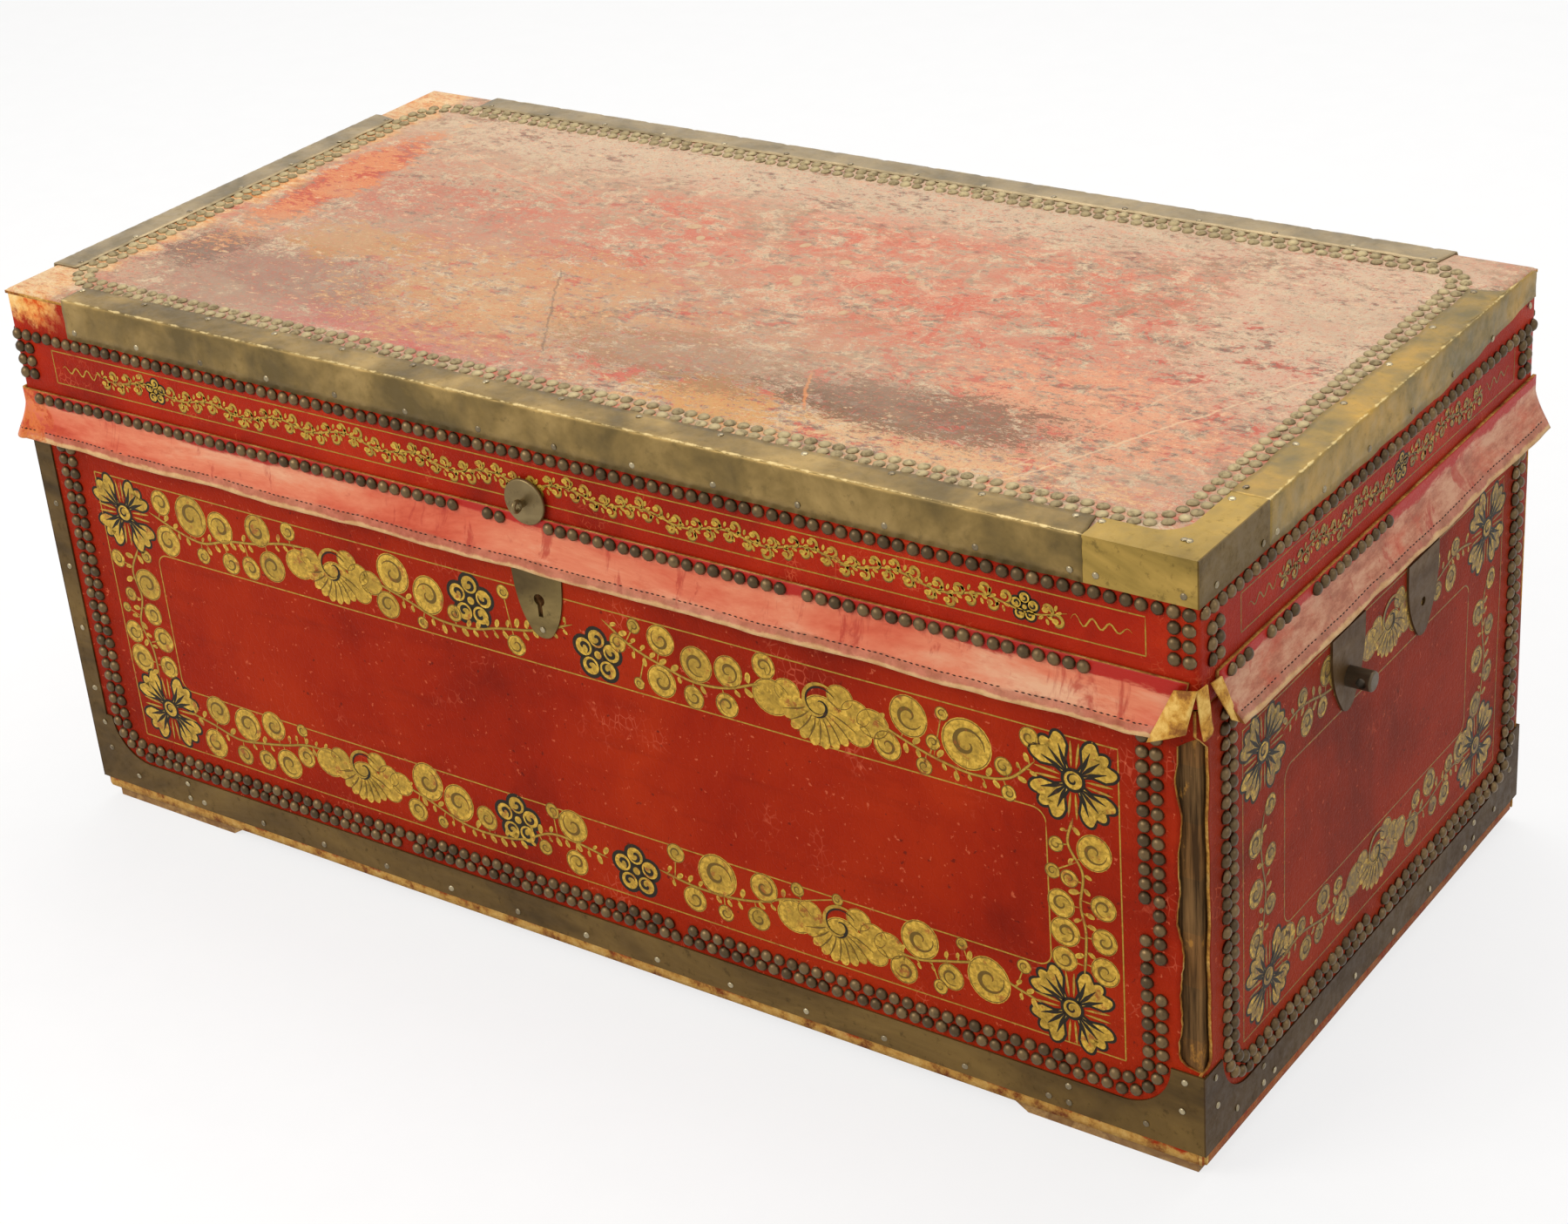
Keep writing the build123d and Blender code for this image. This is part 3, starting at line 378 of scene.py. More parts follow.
def ripple(seed, scale, *coordinates, octaves=3):
    """Smooth random waves, from about -1 to 1: sines in random directions, with each set
    of finer waves half as long and half as high as the last."""
    rng = np.random.default_rng(seed)
    total = 0.0
    for octave in range(octaves):
        for _ in range(4):
            direction = rng.normal(size=len(coordinates))
            direction *= 2 * np.pi * 2**octave / (scale * np.linalg.norm(direction))
            phase = sum(c * d for c, d in zip(coordinates, direction))
            total = total + np.sin(phase + rng.uniform(0, 2 * np.pi)) / 2**octave
    return total / 5.0


def step(value, low, high):
    """0 below low, 1 above high and a smooth rise between."""
    share = np.clip((value - low) / (high - low), 0, 1)
    return share * share * (3 - 2 * share)


def quads(rows, columns, wrap=False):
    """Corner numbers of the squares of a grid of points, row by row; wrap joins the last row
    to the first."""
    number = np.arange(rows * columns).reshape(rows, columns)
    if wrap:
        number = np.concatenate([number, number[:1]])
    corners = [number[:-1, :-1], number[1:, :-1], number[1:, 1:], number[:-1, 1:]]
    return np.stack(corners, -1).reshape(-1, 4)


def slab(outer, inner, wrap=False, windows=()):
    """A closed sheet between two grids of points: its points, and its faces as outer, inner
    and rim squares. Each window is a block of squares left out: rows from, to, columns from,
    to."""
    rows, columns = outer.shape[:2]
    count = rows * columns
    points = np.concatenate([outer.reshape(-1, 3), inner.reshape(-1, 3)])
    number = np.arange(count).reshape(rows, columns)
    if wrap:
        number = np.concatenate([number, number[:1]])
        borders = [number[:, 0], number[::-1, -1]]
    else:
        borders = [number[:, 0], number[-1, :], number[::-1, -1], number[0, ::-1]]
    kept = np.ones((len(number) - 1, columns - 1), bool)
    for top, bottom, left, right in windows:
        kept[top:bottom, left:right] = False
        hole = number[top:bottom + 1, left:right + 1]
        borders += [hole[::-1, 0], hole[0, :], hole[:, -1], hole[-1, ::-1]]
    rim = [np.stack([b[:-1], b[1:], b[1:] + count, b[:-1] + count], -1) for b in borders]
    faces = quads(rows, columns, wrap)[kept.ravel()]
    return points, [faces, faces[:, ::-1] + count, np.concatenate(rim)]


def build(name, points, face_groups, materials, body, replaces=(), values=(), facing=None):
    """A mesh piece from points in millimetres. Each group of faces takes its own material,
    and values are named numbers kept on the points. Faces are turned out of their solid, or
    towards facing where the piece is flat paint."""
    mesh = bpy.data.meshes.new(name)
    faces = [tuple(dict.fromkeys(face)) for group in face_groups for face in group.tolist()]
    mesh.from_pydata((np.asarray(points) * MM).tolist(), [], faces)
    for material in materials:
        mesh.materials.append(material)
    kinds = np.repeat(np.arange(len(face_groups)), [len(group) for group in face_groups])
    kinds = np.minimum(kinds, len(materials) - 1).astype(np.int32)
    mesh.polygons.foreach_set("material_index", kinds)
    mesh.polygons.foreach_set("use_smooth", np.full(len(faces), facing is None))
    for attribute, numbers in dict(values).items():
        layer = mesh.attributes.new(attribute, "FLOAT", "POINT")
        layer.data.foreach_set("value", np.asarray(numbers, np.float32).ravel())
    work = bmesh.new()
    work.from_mesh(mesh)
    if facing is None:
        bmesh.ops.recalc_face_normals(work, faces=work.faces)
    else:
        work.normal_update()
        wrong = [face for face in work.faces if face.normal.dot(Vector(facing)) < 0]
        bmesh.ops.reverse_faces(work, faces=wrong)
    work.to_mesh(mesh)
    work.free()
    piece = bpy.data.objects.new(name, mesh)
    bpy.context.scene.collection.objects.link(piece)
    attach(piece, body)
    if replaces:
        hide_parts(*replaces)


def build_sheet(name, outer, inner, materials, body, slot, replaces=(), field=None, **opening):
    """A closed sheet as a mesh piece. A field is the name of a value and its number at each
    point of the grids, and opening is slab's wrap or windows."""
    points, groups = slab(outer, inner, **opening)
    values = {}
    if field:
        values[field[0]] = np.tile(np.broadcast_to(field[1], outer.shape[:2]).ravel(), 2)
    build(name, points, groups, materials, body, replaces, values)


def slackness(side, along, z):
    """How far the leather of a wall stands off its true plane, in mm: broad, shallow waves."""
    seed = {"front": 3, "right": 4, "left": 5, "back": 6}[side]
    return 0.22 * ripple(seed, 150.0, along, z, octaves=2)


def on_wall(side, along, z, out):
    """Points on an upright wall, where along is X on the front and back and Y on the ends, or
    on the lid's top, where the second coordinate is Y."""
    if side == "front":
        return np.stack([along, FRONT - out, z], -1)
    if side == "back":
        return np.stack([along, BACK + out, z], -1)
    if side == "left":
        return np.stack([LEFT - out, along, z], -1)
    if side == "right":
        return np.stack([RIGHT + out, along, z], -1)
    return np.stack([along, z, LID_TOP + out], -1)


def torn_edge(z, width, sway):
    """How far the leather has torn back from the right front corner, at each height."""
    place = (z - TEAR_LOW) * 9 / (TEAR_HIGH - TEAR_LOW)
    ragged = 0.7 * np.sin(2.6 * place) * np.cos(0.9 * place) + 0.6 * ripple(11, 16.0, z)
    below_top = 1 - step(z, TEAR_HIGH - 8, TEAR_HIGH)
    return (width + sway * ragged) * step(z, TEAR_LOW - 3, TEAR_LOW + 5) * below_top


def leather(name, deep, main, bright, painted_haze, foot):
    """Lacquered red leather: cloudy colour, fine grain, hair cracks and scuffs, rubbed bare
    and yellow along the very foot, as far as foot says. A share of hazy brown, as far as
    painted_haze says, is a painted shade and sheen for walls turned from the light."""
    hide = Shader(name, Specular_IOR_Level=0.045)
    clouds = hide.noise(170.0, 5.0, 0.62, 0.4)
    streaks = hide.noise(26.0, 4.0, 0.6, where=hide.stretched((0.25, 0.25, 1.6)))
    grain = hide.cells(1.5)
    fine = hide.noise(1.1, 3.0, 0.7)
    cracks = hide.cells(5.0, "DISTANCE_TO_EDGE", where=hide.stretched((1, 1, 0.7)))
    colour = hide.tones(clouds, (0.32, deep), (0.5, main), (0.68, bright))
    colour = hide.over(colour, deep, streaks, 0.52, 0.75, 0.35)
    worn = hide.ramp(hide.noise(60.0, 6.0, 0.7), 0.56, 0.70)
    crackle = hide.ramp(cracks, 0.02, 0.09, 0.5, 0.0) * worn
    colour = hide.mix(crackle, colour, rgb(214, 104, 74))
    specks = hide.noise(5.0, 2.0, 0.5)
    colour = hide.over(colour, rgb(70, 24, 18), specks, 0.70, 0.76, 0.6)
    chips = hide.noise(4.0, 3.0, 0.6, where=hide.stretched((1, 1, 1), (2, 5, 3)))
    colour = hide.over(colour, rgb(206, 104, 70), chips, 0.66, 0.71, 0.6)
    # Painted shade and sheen: a hazy brown mixed in on walls turned from the light.
    colour = hide.mix(painted_haze, colour, rgb(120, 66, 38))
    height = hide.axis("Z") + hide.ramp(hide.noise(22.0, 5.0, 0.7), 0.2, 0.8, -5.0, 5.0)
    bare = hide.ramp(height, 16.0, 20.0, foot, 0.0)
    threads = hide.noise(14.0, 5.0, 0.7)
    brown, ochre, pale = rgb(120, 62, 30), rgb(188, 142, 70), rgb(206, 168, 98)
    colour = hide.mix(bare, colour, hide.tones(threads, (0.35, brown), (0.5, ochre), (0.66, pale)))
    hide.bump((grain, 0.10), (fine, 0.08), (hide.ramp(cracks, 0.0, 0.1), 0.12), (clouds, 0.8))
    return hide.finish(colour, hide.spread(fine, 0.42, 0.58))


def raw_hide():
    """The flesh side of the leather, yellow and fibrous, which shows where it is torn."""
    fibre = Shader("raw_hide", Specular_IOR_Level=0.2)
    hairs = fibre.noise(3.0, 5.0, 0.75)
    patches = fibre.noise(24.0, 4.0, 0.6)
    brown, ochre, pale = rgb(150, 84, 34), rgb(206, 150, 62), rgb(226, 186, 108)
    colour = fibre.tones(patches, (0.34, brown), (0.5, ochre), (0.66, pale))
    colour = fibre.over(colour, rgb(108, 62, 30), hairs, 0.65, 0.4, 0.5)
    fibre.bump((hairs, 0.4))
    return fibre.finish(colour, 0.85)


front_hide = leather(
    "leather_front_red", rgb(118, 25, 9), rgb(149, 34, 9), rgb(165, 45, 12), 0.0, 1.0
)
# The other walls take a slightly darker, hazier copy: a painted shade and sheen for walls turned
# from the light.
side_hide = leather(
    "leather_side_red", rgb(106, 26, 9), rgb(142, 37, 12), rgb(158, 48, 18), 0.12, 0.3
)
flesh_side = raw_hide()


# Windows cut behind the plates: half their width, and their foot and top.
LOCK_WINDOW = (9.0, 257.0, 284.0)
POST_WINDOW = (7.0, 239.0, 257.0)
PLATE_HALF = 22.0
LOCK_X = sum(corner.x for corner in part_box("escutcheon")) / 2 / MM
near_plate, far_plate = (corner.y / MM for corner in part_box("handle_plates_left"))
POST_CUTS = [(y, *POST_WINDOW) for y in (near_plate + PLATE_HALF, far_plate - PLATE_HALF)]
CUTS = {"front": [(LOCK_X, *LOCK_WINDOW)], "left": POST_CUTS, "right": POST_CUTS}


def body_sheet(side, hide):
    """One wall's sheet of leather, with rounded upright edges, the tear at the right front
    corner, and windows behind the plates of the lock and handles."""
    start, end = FRONT + LEATHER, BACK - LEATHER
    if side in ("front", "back"):
        start, end = LEFT, RIGHT
    z = np.linspace(FOOT, BODY_TOP, round((BODY_TOP - FOOT) / SHEET_STEP))
    share = np.linspace(0, 1, round((end - start) / SHEET_STEP))
    near = np.full_like(z, start)
    far = np.full_like(z, end)
    if side == "front":
        far = end - torn_edge(z, TEAR_ON_FRONT, SWAY_ON_FRONT)
    if side == "right":
        near = start - LEATHER + torn_edge(z, TEAR_ON_SIDE + LEATHER, SWAY_ON_SIDE)
    along = near + share[:, None] * (far - near)
    height = np.broadcast_to(z, along.shape)
    from_edge = np.minimum(along - near, far - along)
    torn = torn_edge(height, 1.0, 0.0) if side in ("front", "right") else 0.0
    inward = np.clip(EDGE_ROUND - from_edge, 0, EDGE_ROUND)
    drop = EDGE_ROUND - np.sqrt(EDGE_ROUND**2 - inward**2)
    curl = 0.0
    if side == "front":
        uneven = 0.6 + 0.4 * ripple(12, 30.0, height)
        curl = CURL_ON_FRONT * torn * step(along - far, -CURLED_ON_FRONT, 0.0) * uneven
    if side == "right":
        curl = CURL_ON_SIDE * torn * step(near - along, -CURLED_ON_SIDE, 0.0)
    out = slackness(side, along, height) - drop * (1 - torn) + curl
    outer = on_wall(side, along, height, out)
    inner = on_wall(side, along, height, out - LEATHER)
    windows = []
    for x, reach, low, high in CUTS.get(side, ()):
        columns = np.searchsorted(z, (low, high))
        windows.append((*np.searchsorted(along[:, columns[0]], (x - reach, x + reach)), *columns))
    build_sheet(
        f"body_leather_{side}", outer, inner, [hide, flesh_side], "case", "leather",
        [f"leather_{side}"], windows=windows,
    )


body_sheet("front", front_hide)
for side in ("back", "left", "right"):
    body_sheet(side, side_hide)


# ---- Painted borders -------------------------------------------------------------------
# Each wall has a gilt border between two fine lines: a running stem with round curled
# leaves, flowers outlined in black at its corners, rosettes and shells along it.
INK_LIFT = 0.07
GILT, BLACK, LINE = 0, 1, 2


class Painting:
    """Flat painted shapes gathered on one wall, kept as points (along, height), their lift
    off the leather, their ink, and how near each point is to its shape's rim."""

    def __init__(self):
        self.points, self.lifts, self.rims, self.tone = [], [], [], []
        self.faces = {GILT: [], BLACK: [], LINE: []}
        self.count = 0
        self.rng = np.random.default_rng(21)

    def keep(self, points, rims, layer, ink, faces):
        """Adds the points and faces of one shape."""
        self.points.append(points)
        self.rims.append(rims)
        self.lifts.append(np.full(len(points), INK_LIFT * layer))
        self.tone.append(np.full(len(points), self.rng.uniform()))
        self.faces[ink].append(faces + self.count)
        self.count += len(points)

    def fill(self, outline, layer, ink):
        """A filled shape: its outline, a ring halfway in and its middle."""
        outline = np.asarray(outline, float)
        middle = outline.mean(0)
        ring = middle + (outline - middle) * 0.6
        count = len(outline)
        index = np.arange(count)
        following = (index + 1) % count
        outer = np.stack([index, following, following + count, index + count], -1)
        inner = np.stack([index + count, following + count, np.full(count, 2 * count)], -1)
        faces = np.concatenate([outer, np.concatenate([inner, inner[:, 2:]], -1)])
        rims = np.concatenate([np.ones(count), np.full(count, 0.5), [0.0]])
        self.keep(np.concatenate([outline, ring, [middle]]), rims, layer, ink, faces)

    def stroke(self, line, width, layer, ink, taper=0.25):
        """A brush line that thins towards its ends."""
        line = np.asarray(line, float)
        run = np.gradient(line, axis=0)
        side = np.stack([-run[:, 1], run[:, 0]], -1)
        side /= np.maximum(np.linalg.norm(side, axis=1, keepdims=True), 1e-9)
        share = np.linspace(0, 1, len(line))
        press = np.minimum(1, np.minimum(share, 1 - share) / max(taper, 1e-6)) * 0.85 + 0.15
        half = (width / 2 * press)[:, None] * side
        points = np.stack([line - half, line + half], 1).reshape(-1, 2)
        self.keep(points, np.zeros(len(points)), layer, ink, quads(len(line), 2))


def turned(points, angle, place, size=1.0):
    """Points turned by an angle, scaled and moved to their place."""
    cos, sin = math.cos(angle), math.sin(angle)
    points = np.asarray(points, float) * size
    return points @ np.array([[cos, sin], [-sin, cos]]) + np.asarray(place, float)


def curve(knots, count=60):
    """A smooth line through the knots (Catmull-Rom)."""
    knots = np.asarray(knots, float)
    padded = np.concatenate([[2 * knots[0] - knots[1]], knots, [2 * knots[-1] - knots[-2]]])
    t = np.linspace(0, len(knots) - 1 - 1e-9, count)
    i = t.astype(int)
    u = (t - i)[:, None]
    a, b, c, d = (padded[i + k] for k in range(4))
    bent = (2 * a - 5 * b + 4 * c - d) * u**2 + (3 * b - a - 3 * c + d) * u**3
    return 0.5 * (2 * b + (c - a) * u + bent)


def ring(radius_along, radius_up=None, count=22):
    """Points round an ellipse."""
    angle = np.arange(count) * 2 * np.pi / count
    radius_up = radius_up or radius_along
    return np.stack([radius_along * np.cos(angle), radius_up * np.sin(angle)], -1)


def spiral(start, end, turns, phase, count=26):
    """A line that winds in from radius start to radius end."""
    share = np.linspace(0, 1, count)
    radius = start + (end - start) * share
    angle = phase + turns * 2 * np.pi * share
    return np.stack([radius * np.cos(angle), radius * np.sin(angle)], -1)


def curled_leaf(paint, place, radius, hand=1.0):
    """A round gilt leaf with an olive rim and a broad brush line that curls into its
    middle."""
    tilt = paint.rng.uniform(-0.5, 0.5)
    phase = paint.rng.uniform(0, 2 * np.pi)
    tall = 1.0 + 0.12 * paint.rng.uniform(0, 1)
    paint.fill(turned(ring(radius, radius * tall), tilt, place), 1, GILT)
    if radius > 3.6:
        edge = ring(radius * 0.94, radius * 0.94 * tall, 30)
        paint.stroke(turned(edge, tilt, place), 0.6, 2, LINE, 0)
        winding = spiral(radius * 0.72, radius * 0.14, 1.1 * hand, phase)
        paint.stroke(turned(winding, tilt, place), 0.22 * radius, 2, LINE, 0.5)


def trefoil(radius):
    """A three-lobed petal along +X: its edge swells three times between the angles of its
    sides, and draws in to a narrow neck at the origin."""
    angle = np.linspace(-31, 31, 37)
    reach = radius * (0.70 + 0.30 * np.sqrt(np.abs(np.cos(np.radians(angle * 90 / 10.33)))))
    edge = np.stack([reach * np.cos(np.radians(angle)), reach * np.sin(np.radians(angle))], -1)
    neck = np.array([[0.42, 0.13], [0.16, 0.05]]) * radius
    return np.concatenate([neck[::-1] * (1, -1), edge, neck])


def corner_flower(paint, place, radius):
    """Four three-lobed petals on the diagonals, outlined and veined in black, with pairs of
    gilt rays between them and a gilt eye."""
    for quarter in range(4):
        angle = math.radians(45 + 90 * quarter) + paint.rng.uniform(-0.07, 0.07)
        outline = turned(trefoil(radius * paint.rng.uniform(0.92, 1.0)), angle, place)
        paint.stroke(np.concatenate([outline, outline[:1]]), radius * 0.12, 1, BLACK, 0)
        paint.fill(outline, 2, GILT)
        for spread in (-19, 0, 19):
            way = np.array([math.cos(math.radians(spread)), math.sin(math.radians(spread))])
            vein = [(radius * 0.18, 0), way * radius * (0.46, 0.36), way * radius * 0.76]
            paint.stroke(turned(curve(vein, 10), angle, place), radius * 0.085, 3, BLACK, 0.45)
        for shift in (-0.05, 0.05):
            ray = [(radius * 0.28, radius * shift), (radius * 0.82, radius * shift * 1.8)]
            paint.stroke(turned(curve(ray, 6), angle - math.pi / 4, place), radius * 0.05, 2, GILT)
    paint.fill(turned(ring(radius * 0.26), 0, place), 3, BLACK)
    paint.fill(turned(ring(radius * 0.19), 0, place), 4, GILT)
    curl = spiral(radius * 0.15, radius * 0.03, 0.9, 1.0, 12)
    paint.stroke(turned(curl, 0, place), radius * 0.05, 5, BLACK)


def rosette(paint, place, radius, petals=5):
    """Round petals with a curl in each, thickly outlined in black, round a small eye."""
    for number in range(petals):
        angle = math.radians(90 + 360 * number / petals)
        centre = np.array([radius * 0.60 * math.cos(angle), radius * 0.60 * math.sin(angle)])
        spot = np.asarray(place) + centre
        paint.fill(turned(ring(radius * 0.47, count=18), 0, spot), 1, BLACK)
        paint.fill(turned(ring(radius * 0.33, count=18), 0, spot), 2, GILT)
        curl = turned(spiral(radius * 0.24, radius * 0.04, 0.8, angle + 2.4, 14), 0, spot)
        paint.stroke(curl, radius * 0.13, 3, BLACK)
    paint.fill(turned(ring(radius * 0.24, count=14), 0, place), 3, BLACK)
    paint.fill(turned(ring(radius * 0.15, count=14), 0, place), 4, GILT)


SHELL_LOBES = (
    (-0.36, 0.00, 0.150), (-0.24, 0.16, 0.100), (0.16, 0.28, 0.100), (0.27, 0.10, 0.110),
    (0.39, 0.02, 0.120), (0.28, -0.20, 0.100), (0.02, -0.04, 0.150),
)


def shell(paint, place, width, height):
    """A cloud of overlapping round lobes and, in its middle, a fan of finger lobes with olive
    ribs below a hooked spiral. Lobes are shares of the width and height."""
    for x, z, radius in SHELL_LOBES:
        spot = np.add(place, (x * width, z * height))
        wide = radius * width
        paint.fill(turned(ring(wide, wide * 0.88), 0, spot), 1, GILT)
        paint.stroke(turned(ring(wide * 0.94, wide * 0.82, 26), 0, spot), 0.5, 1.5, LINE, 0)
    heart = np.add(place, (0, 0.08 * height))
    for angle in np.arange(190, 352, 17):
        finger = ring(0.105 * width, 0.050 * width, 14) + (0.205 * width, 0)
        paint.fill(turned(finger, math.radians(angle), heart), 2, GILT)
    for angle in np.arange(198, 350, 17):
        rib = [(0.08 * width, 0), (0.18 * width, 0.012 * width), (0.30 * width, 0)]
        paint.stroke(turned(curve(rib, 8), math.radians(angle), heart), 1.3, 3, LINE, 0.5)
    hook = spiral(0.30 * height, 0.05 * height, 1.2, 0.6)
    paint.stroke(turned(hook, 0, heart), 0.065 * height, 4, BLACK, 0.5)
    winding = spiral(0.37 * height, 0.13 * height, 0.75, 0.5)
    paint.stroke(turned(winding, 0, heart), 0.05 * height, 5, GILT)


def unit(vectors):
    """Vectors made 1 long."""
    return vectors / np.linalg.norm(vectors, axis=-1, keepdims=True)


def distances(line):
    """How far along a line each of its points is."""
    return np.concatenate([[0], np.cumsum(np.linalg.norm(np.diff(line, axis=0), axis=1))])


def tendrils(paint, stem, gap, reach, keep_clear):
    """Buds and small curls set by turns on each side of a stem, away from what is listed
    in keep_clear as places and radii."""
    lengths = distances(stem)
    side = 1.0
    for at in np.arange(gap, lengths[-1] - gap, gap):
        i = int(np.searchsorted(lengths, at))
        run = unit(stem[i] - stem[i - 1])
        across = np.array([-run[1], run[0]]) * side
        side = -side
        tip = stem[i] + across * reach * paint.rng.uniform(0.6, 1.1) + run * reach * 0.5
        if any(math.dist(tip, place) < radius + 2.2 for place, radius in keep_clear):
            continue
        paint.stroke(curve([stem[i], (stem[i] + tip) / 2 + run * 1.2, tip], 8), 0.8, 1, GILT)
        size = paint.rng.uniform(1.3, 2.5)
        lean = math.atan2(tip[1] - stem[i][1], tip[0] - stem[i][0])
        paint.fill(turned(ring(size * 1.5, size * 0.85, 10), lean, tip), 2, GILT)


STEM_WIDTH, TENDRIL_GAP, TENDRIL_REACH = 1.3, 4.3, 5.0


def stem_line(paint, knots, leaves):
    """A stem through the knots with its round leaves, each (along, height, radius)."""
    stem = curve(knots, 16 * len(knots))
    paint.stroke(stem, STEM_WIDTH + 0.7, 1, LINE, 0.05)
    paint.stroke(stem, STEM_WIDTH, 2, GILT, 0.05)
    clear = [((x, z), radius) for x, z, radius in leaves]
    for number, (x, z, radius) in enumerate(leaves):
        nearest = stem[np.argmin(np.linalg.norm(stem - (x, z), axis=1))]
        paint.stroke(curve([nearest, (x, z)], 6), 0.9, 1, GILT, 0)
        curled_leaf(paint, (x, z), radius, 1 if number % 2 else -1)
    tendrils(paint, stem, TENDRIL_GAP, TENDRIL_REACH, clear)


def frame_line(paint, corners, round_by=0.0, width=0.9):
    """A fine gilt line round a rectangle, its corners rounded."""
    (x0, z0), (x1, z1) = corners
    line = []
    for cx, cz, turn in ((x1, z1, 0), (x0, z1, 1), (x0, z0, 2), (x1, z0, 3)):
        x = cx - math.copysign(round_by, cx - (x0 + x1) / 2)
        z = cz - math.copysign(round_by, cz - (z0 + z1) / 2)
        angles = np.radians(np.linspace(90 * turn, 90 * turn + 90, 9))
        line += [(x + round_by * math.cos(a), z + round_by * math.sin(a)) for a in angles]
    line = np.array(line + line[:1])
    fine = [line[:1]]
    for a, b in zip(line[:-1], line[1:]):
        steps = max(1, int(math.dist(a, b) / 8))
        fine.append(a + (b - a) * (np.arange(1, steps + 1) / steps)[:, None])
    paint.stroke(np.concatenate(fine), width, 1, GILT, 0)


def gilt(name, rich, olive, ground):
    """Worn gold paint, olive in the middle of each shape and rubbed through to the red."""
    gold = Shader(name, Metallic=0.1, Specular_IOR_Level=0.2)
    brush = gold.noise(3.0, 4.0, 0.6, 0.6)
    colour = gold.tones(brush, (0.32, olive), (0.5, rich), (0.68, rgb(226, 186, 78)))
    colour = gold.over(colour, olive, gold.value_of("rim"), 0.8, 0.1, 0.5)
    colour = gold.over(colour, olive, gold.value_of("tone"), 0.5, 1.0, 0.35)
    colour = gold.over(colour, ground, gold.noise(9.0, 6.0, 0.72), 0.56, 0.66, 0.75)
    gold.bump((brush, 0.1))
    return gold.finish(colour, gold.spread(brush, 0.38, 0.55))


def dark_ink(name, tone, worn_to):
    """Thin dark outline paint, broken where it has worn."""
    ink = Shader(name, Specular_IOR_Level=0.15)
    breaks = ink.noise(4.0, 4.0, 0.7)
    colour = ink.over(tone, worn_to, breaks, 0.56, 0.68, 0.7)
    return ink.finish(colour, ink.spread(breaks, 0.4, 0.6))


inks_front = [
    gilt("gilt_front", rgb(196, 156, 52), rgb(142, 112, 34), rgb(150, 64, 26)),
    dark_ink("black_ink", rgb(34, 28, 16), rgb(84, 50, 24)),
    dark_ink("olive_ink", rgb(104, 80, 28), rgb(146, 82, 34)),
]
# The end and back walls take darker copies of the inks: a painted shade for walls turned from the
# light.
inks_side = [
    gilt("gilt_side", rgb(158, 124, 54), rgb(98, 78, 34), rgb(112, 50, 28)),
    inks_front[1],
    dark_ink("olive_ink_side", rgb(76, 58, 30), rgb(108, 58, 32)),
]


OUTWARD = {
    "front": (0, -1, 0),
    "back": (0, 1, 0),
    "left": (-1, 0, 0),
    "right": (1, 0, 0),
    "top": (0, 0, 1),
}


def paint_on(name, side, paint, inks, body="case"):
    """Lays a painting on a wall, every layer a hair above the one below. The body's leather
    is slack, the lid's top sags, and the band round the lid lies flat."""
    along, height = np.concatenate(paint.points).T
    stand_off = np.concatenate(paint.lifts)
    if side == "top":
        stand_off = stand_off + hollows(along, height)
    elif body == "case":
        stand_off = stand_off + slackness(side, along, height)
    points = on_wall(side, along, height, stand_off)
    none = np.zeros((0, 4), int)
    groups = [np.concatenate([none, *paint.faces[ink]]) for ink in (GILT, BLACK, LINE)]
    values = {"rim": np.concatenate(paint.rims), "tone": np.concatenate(paint.tone)}
    build(name, points, groups, inks, body, (), values, OUTWARD[side])


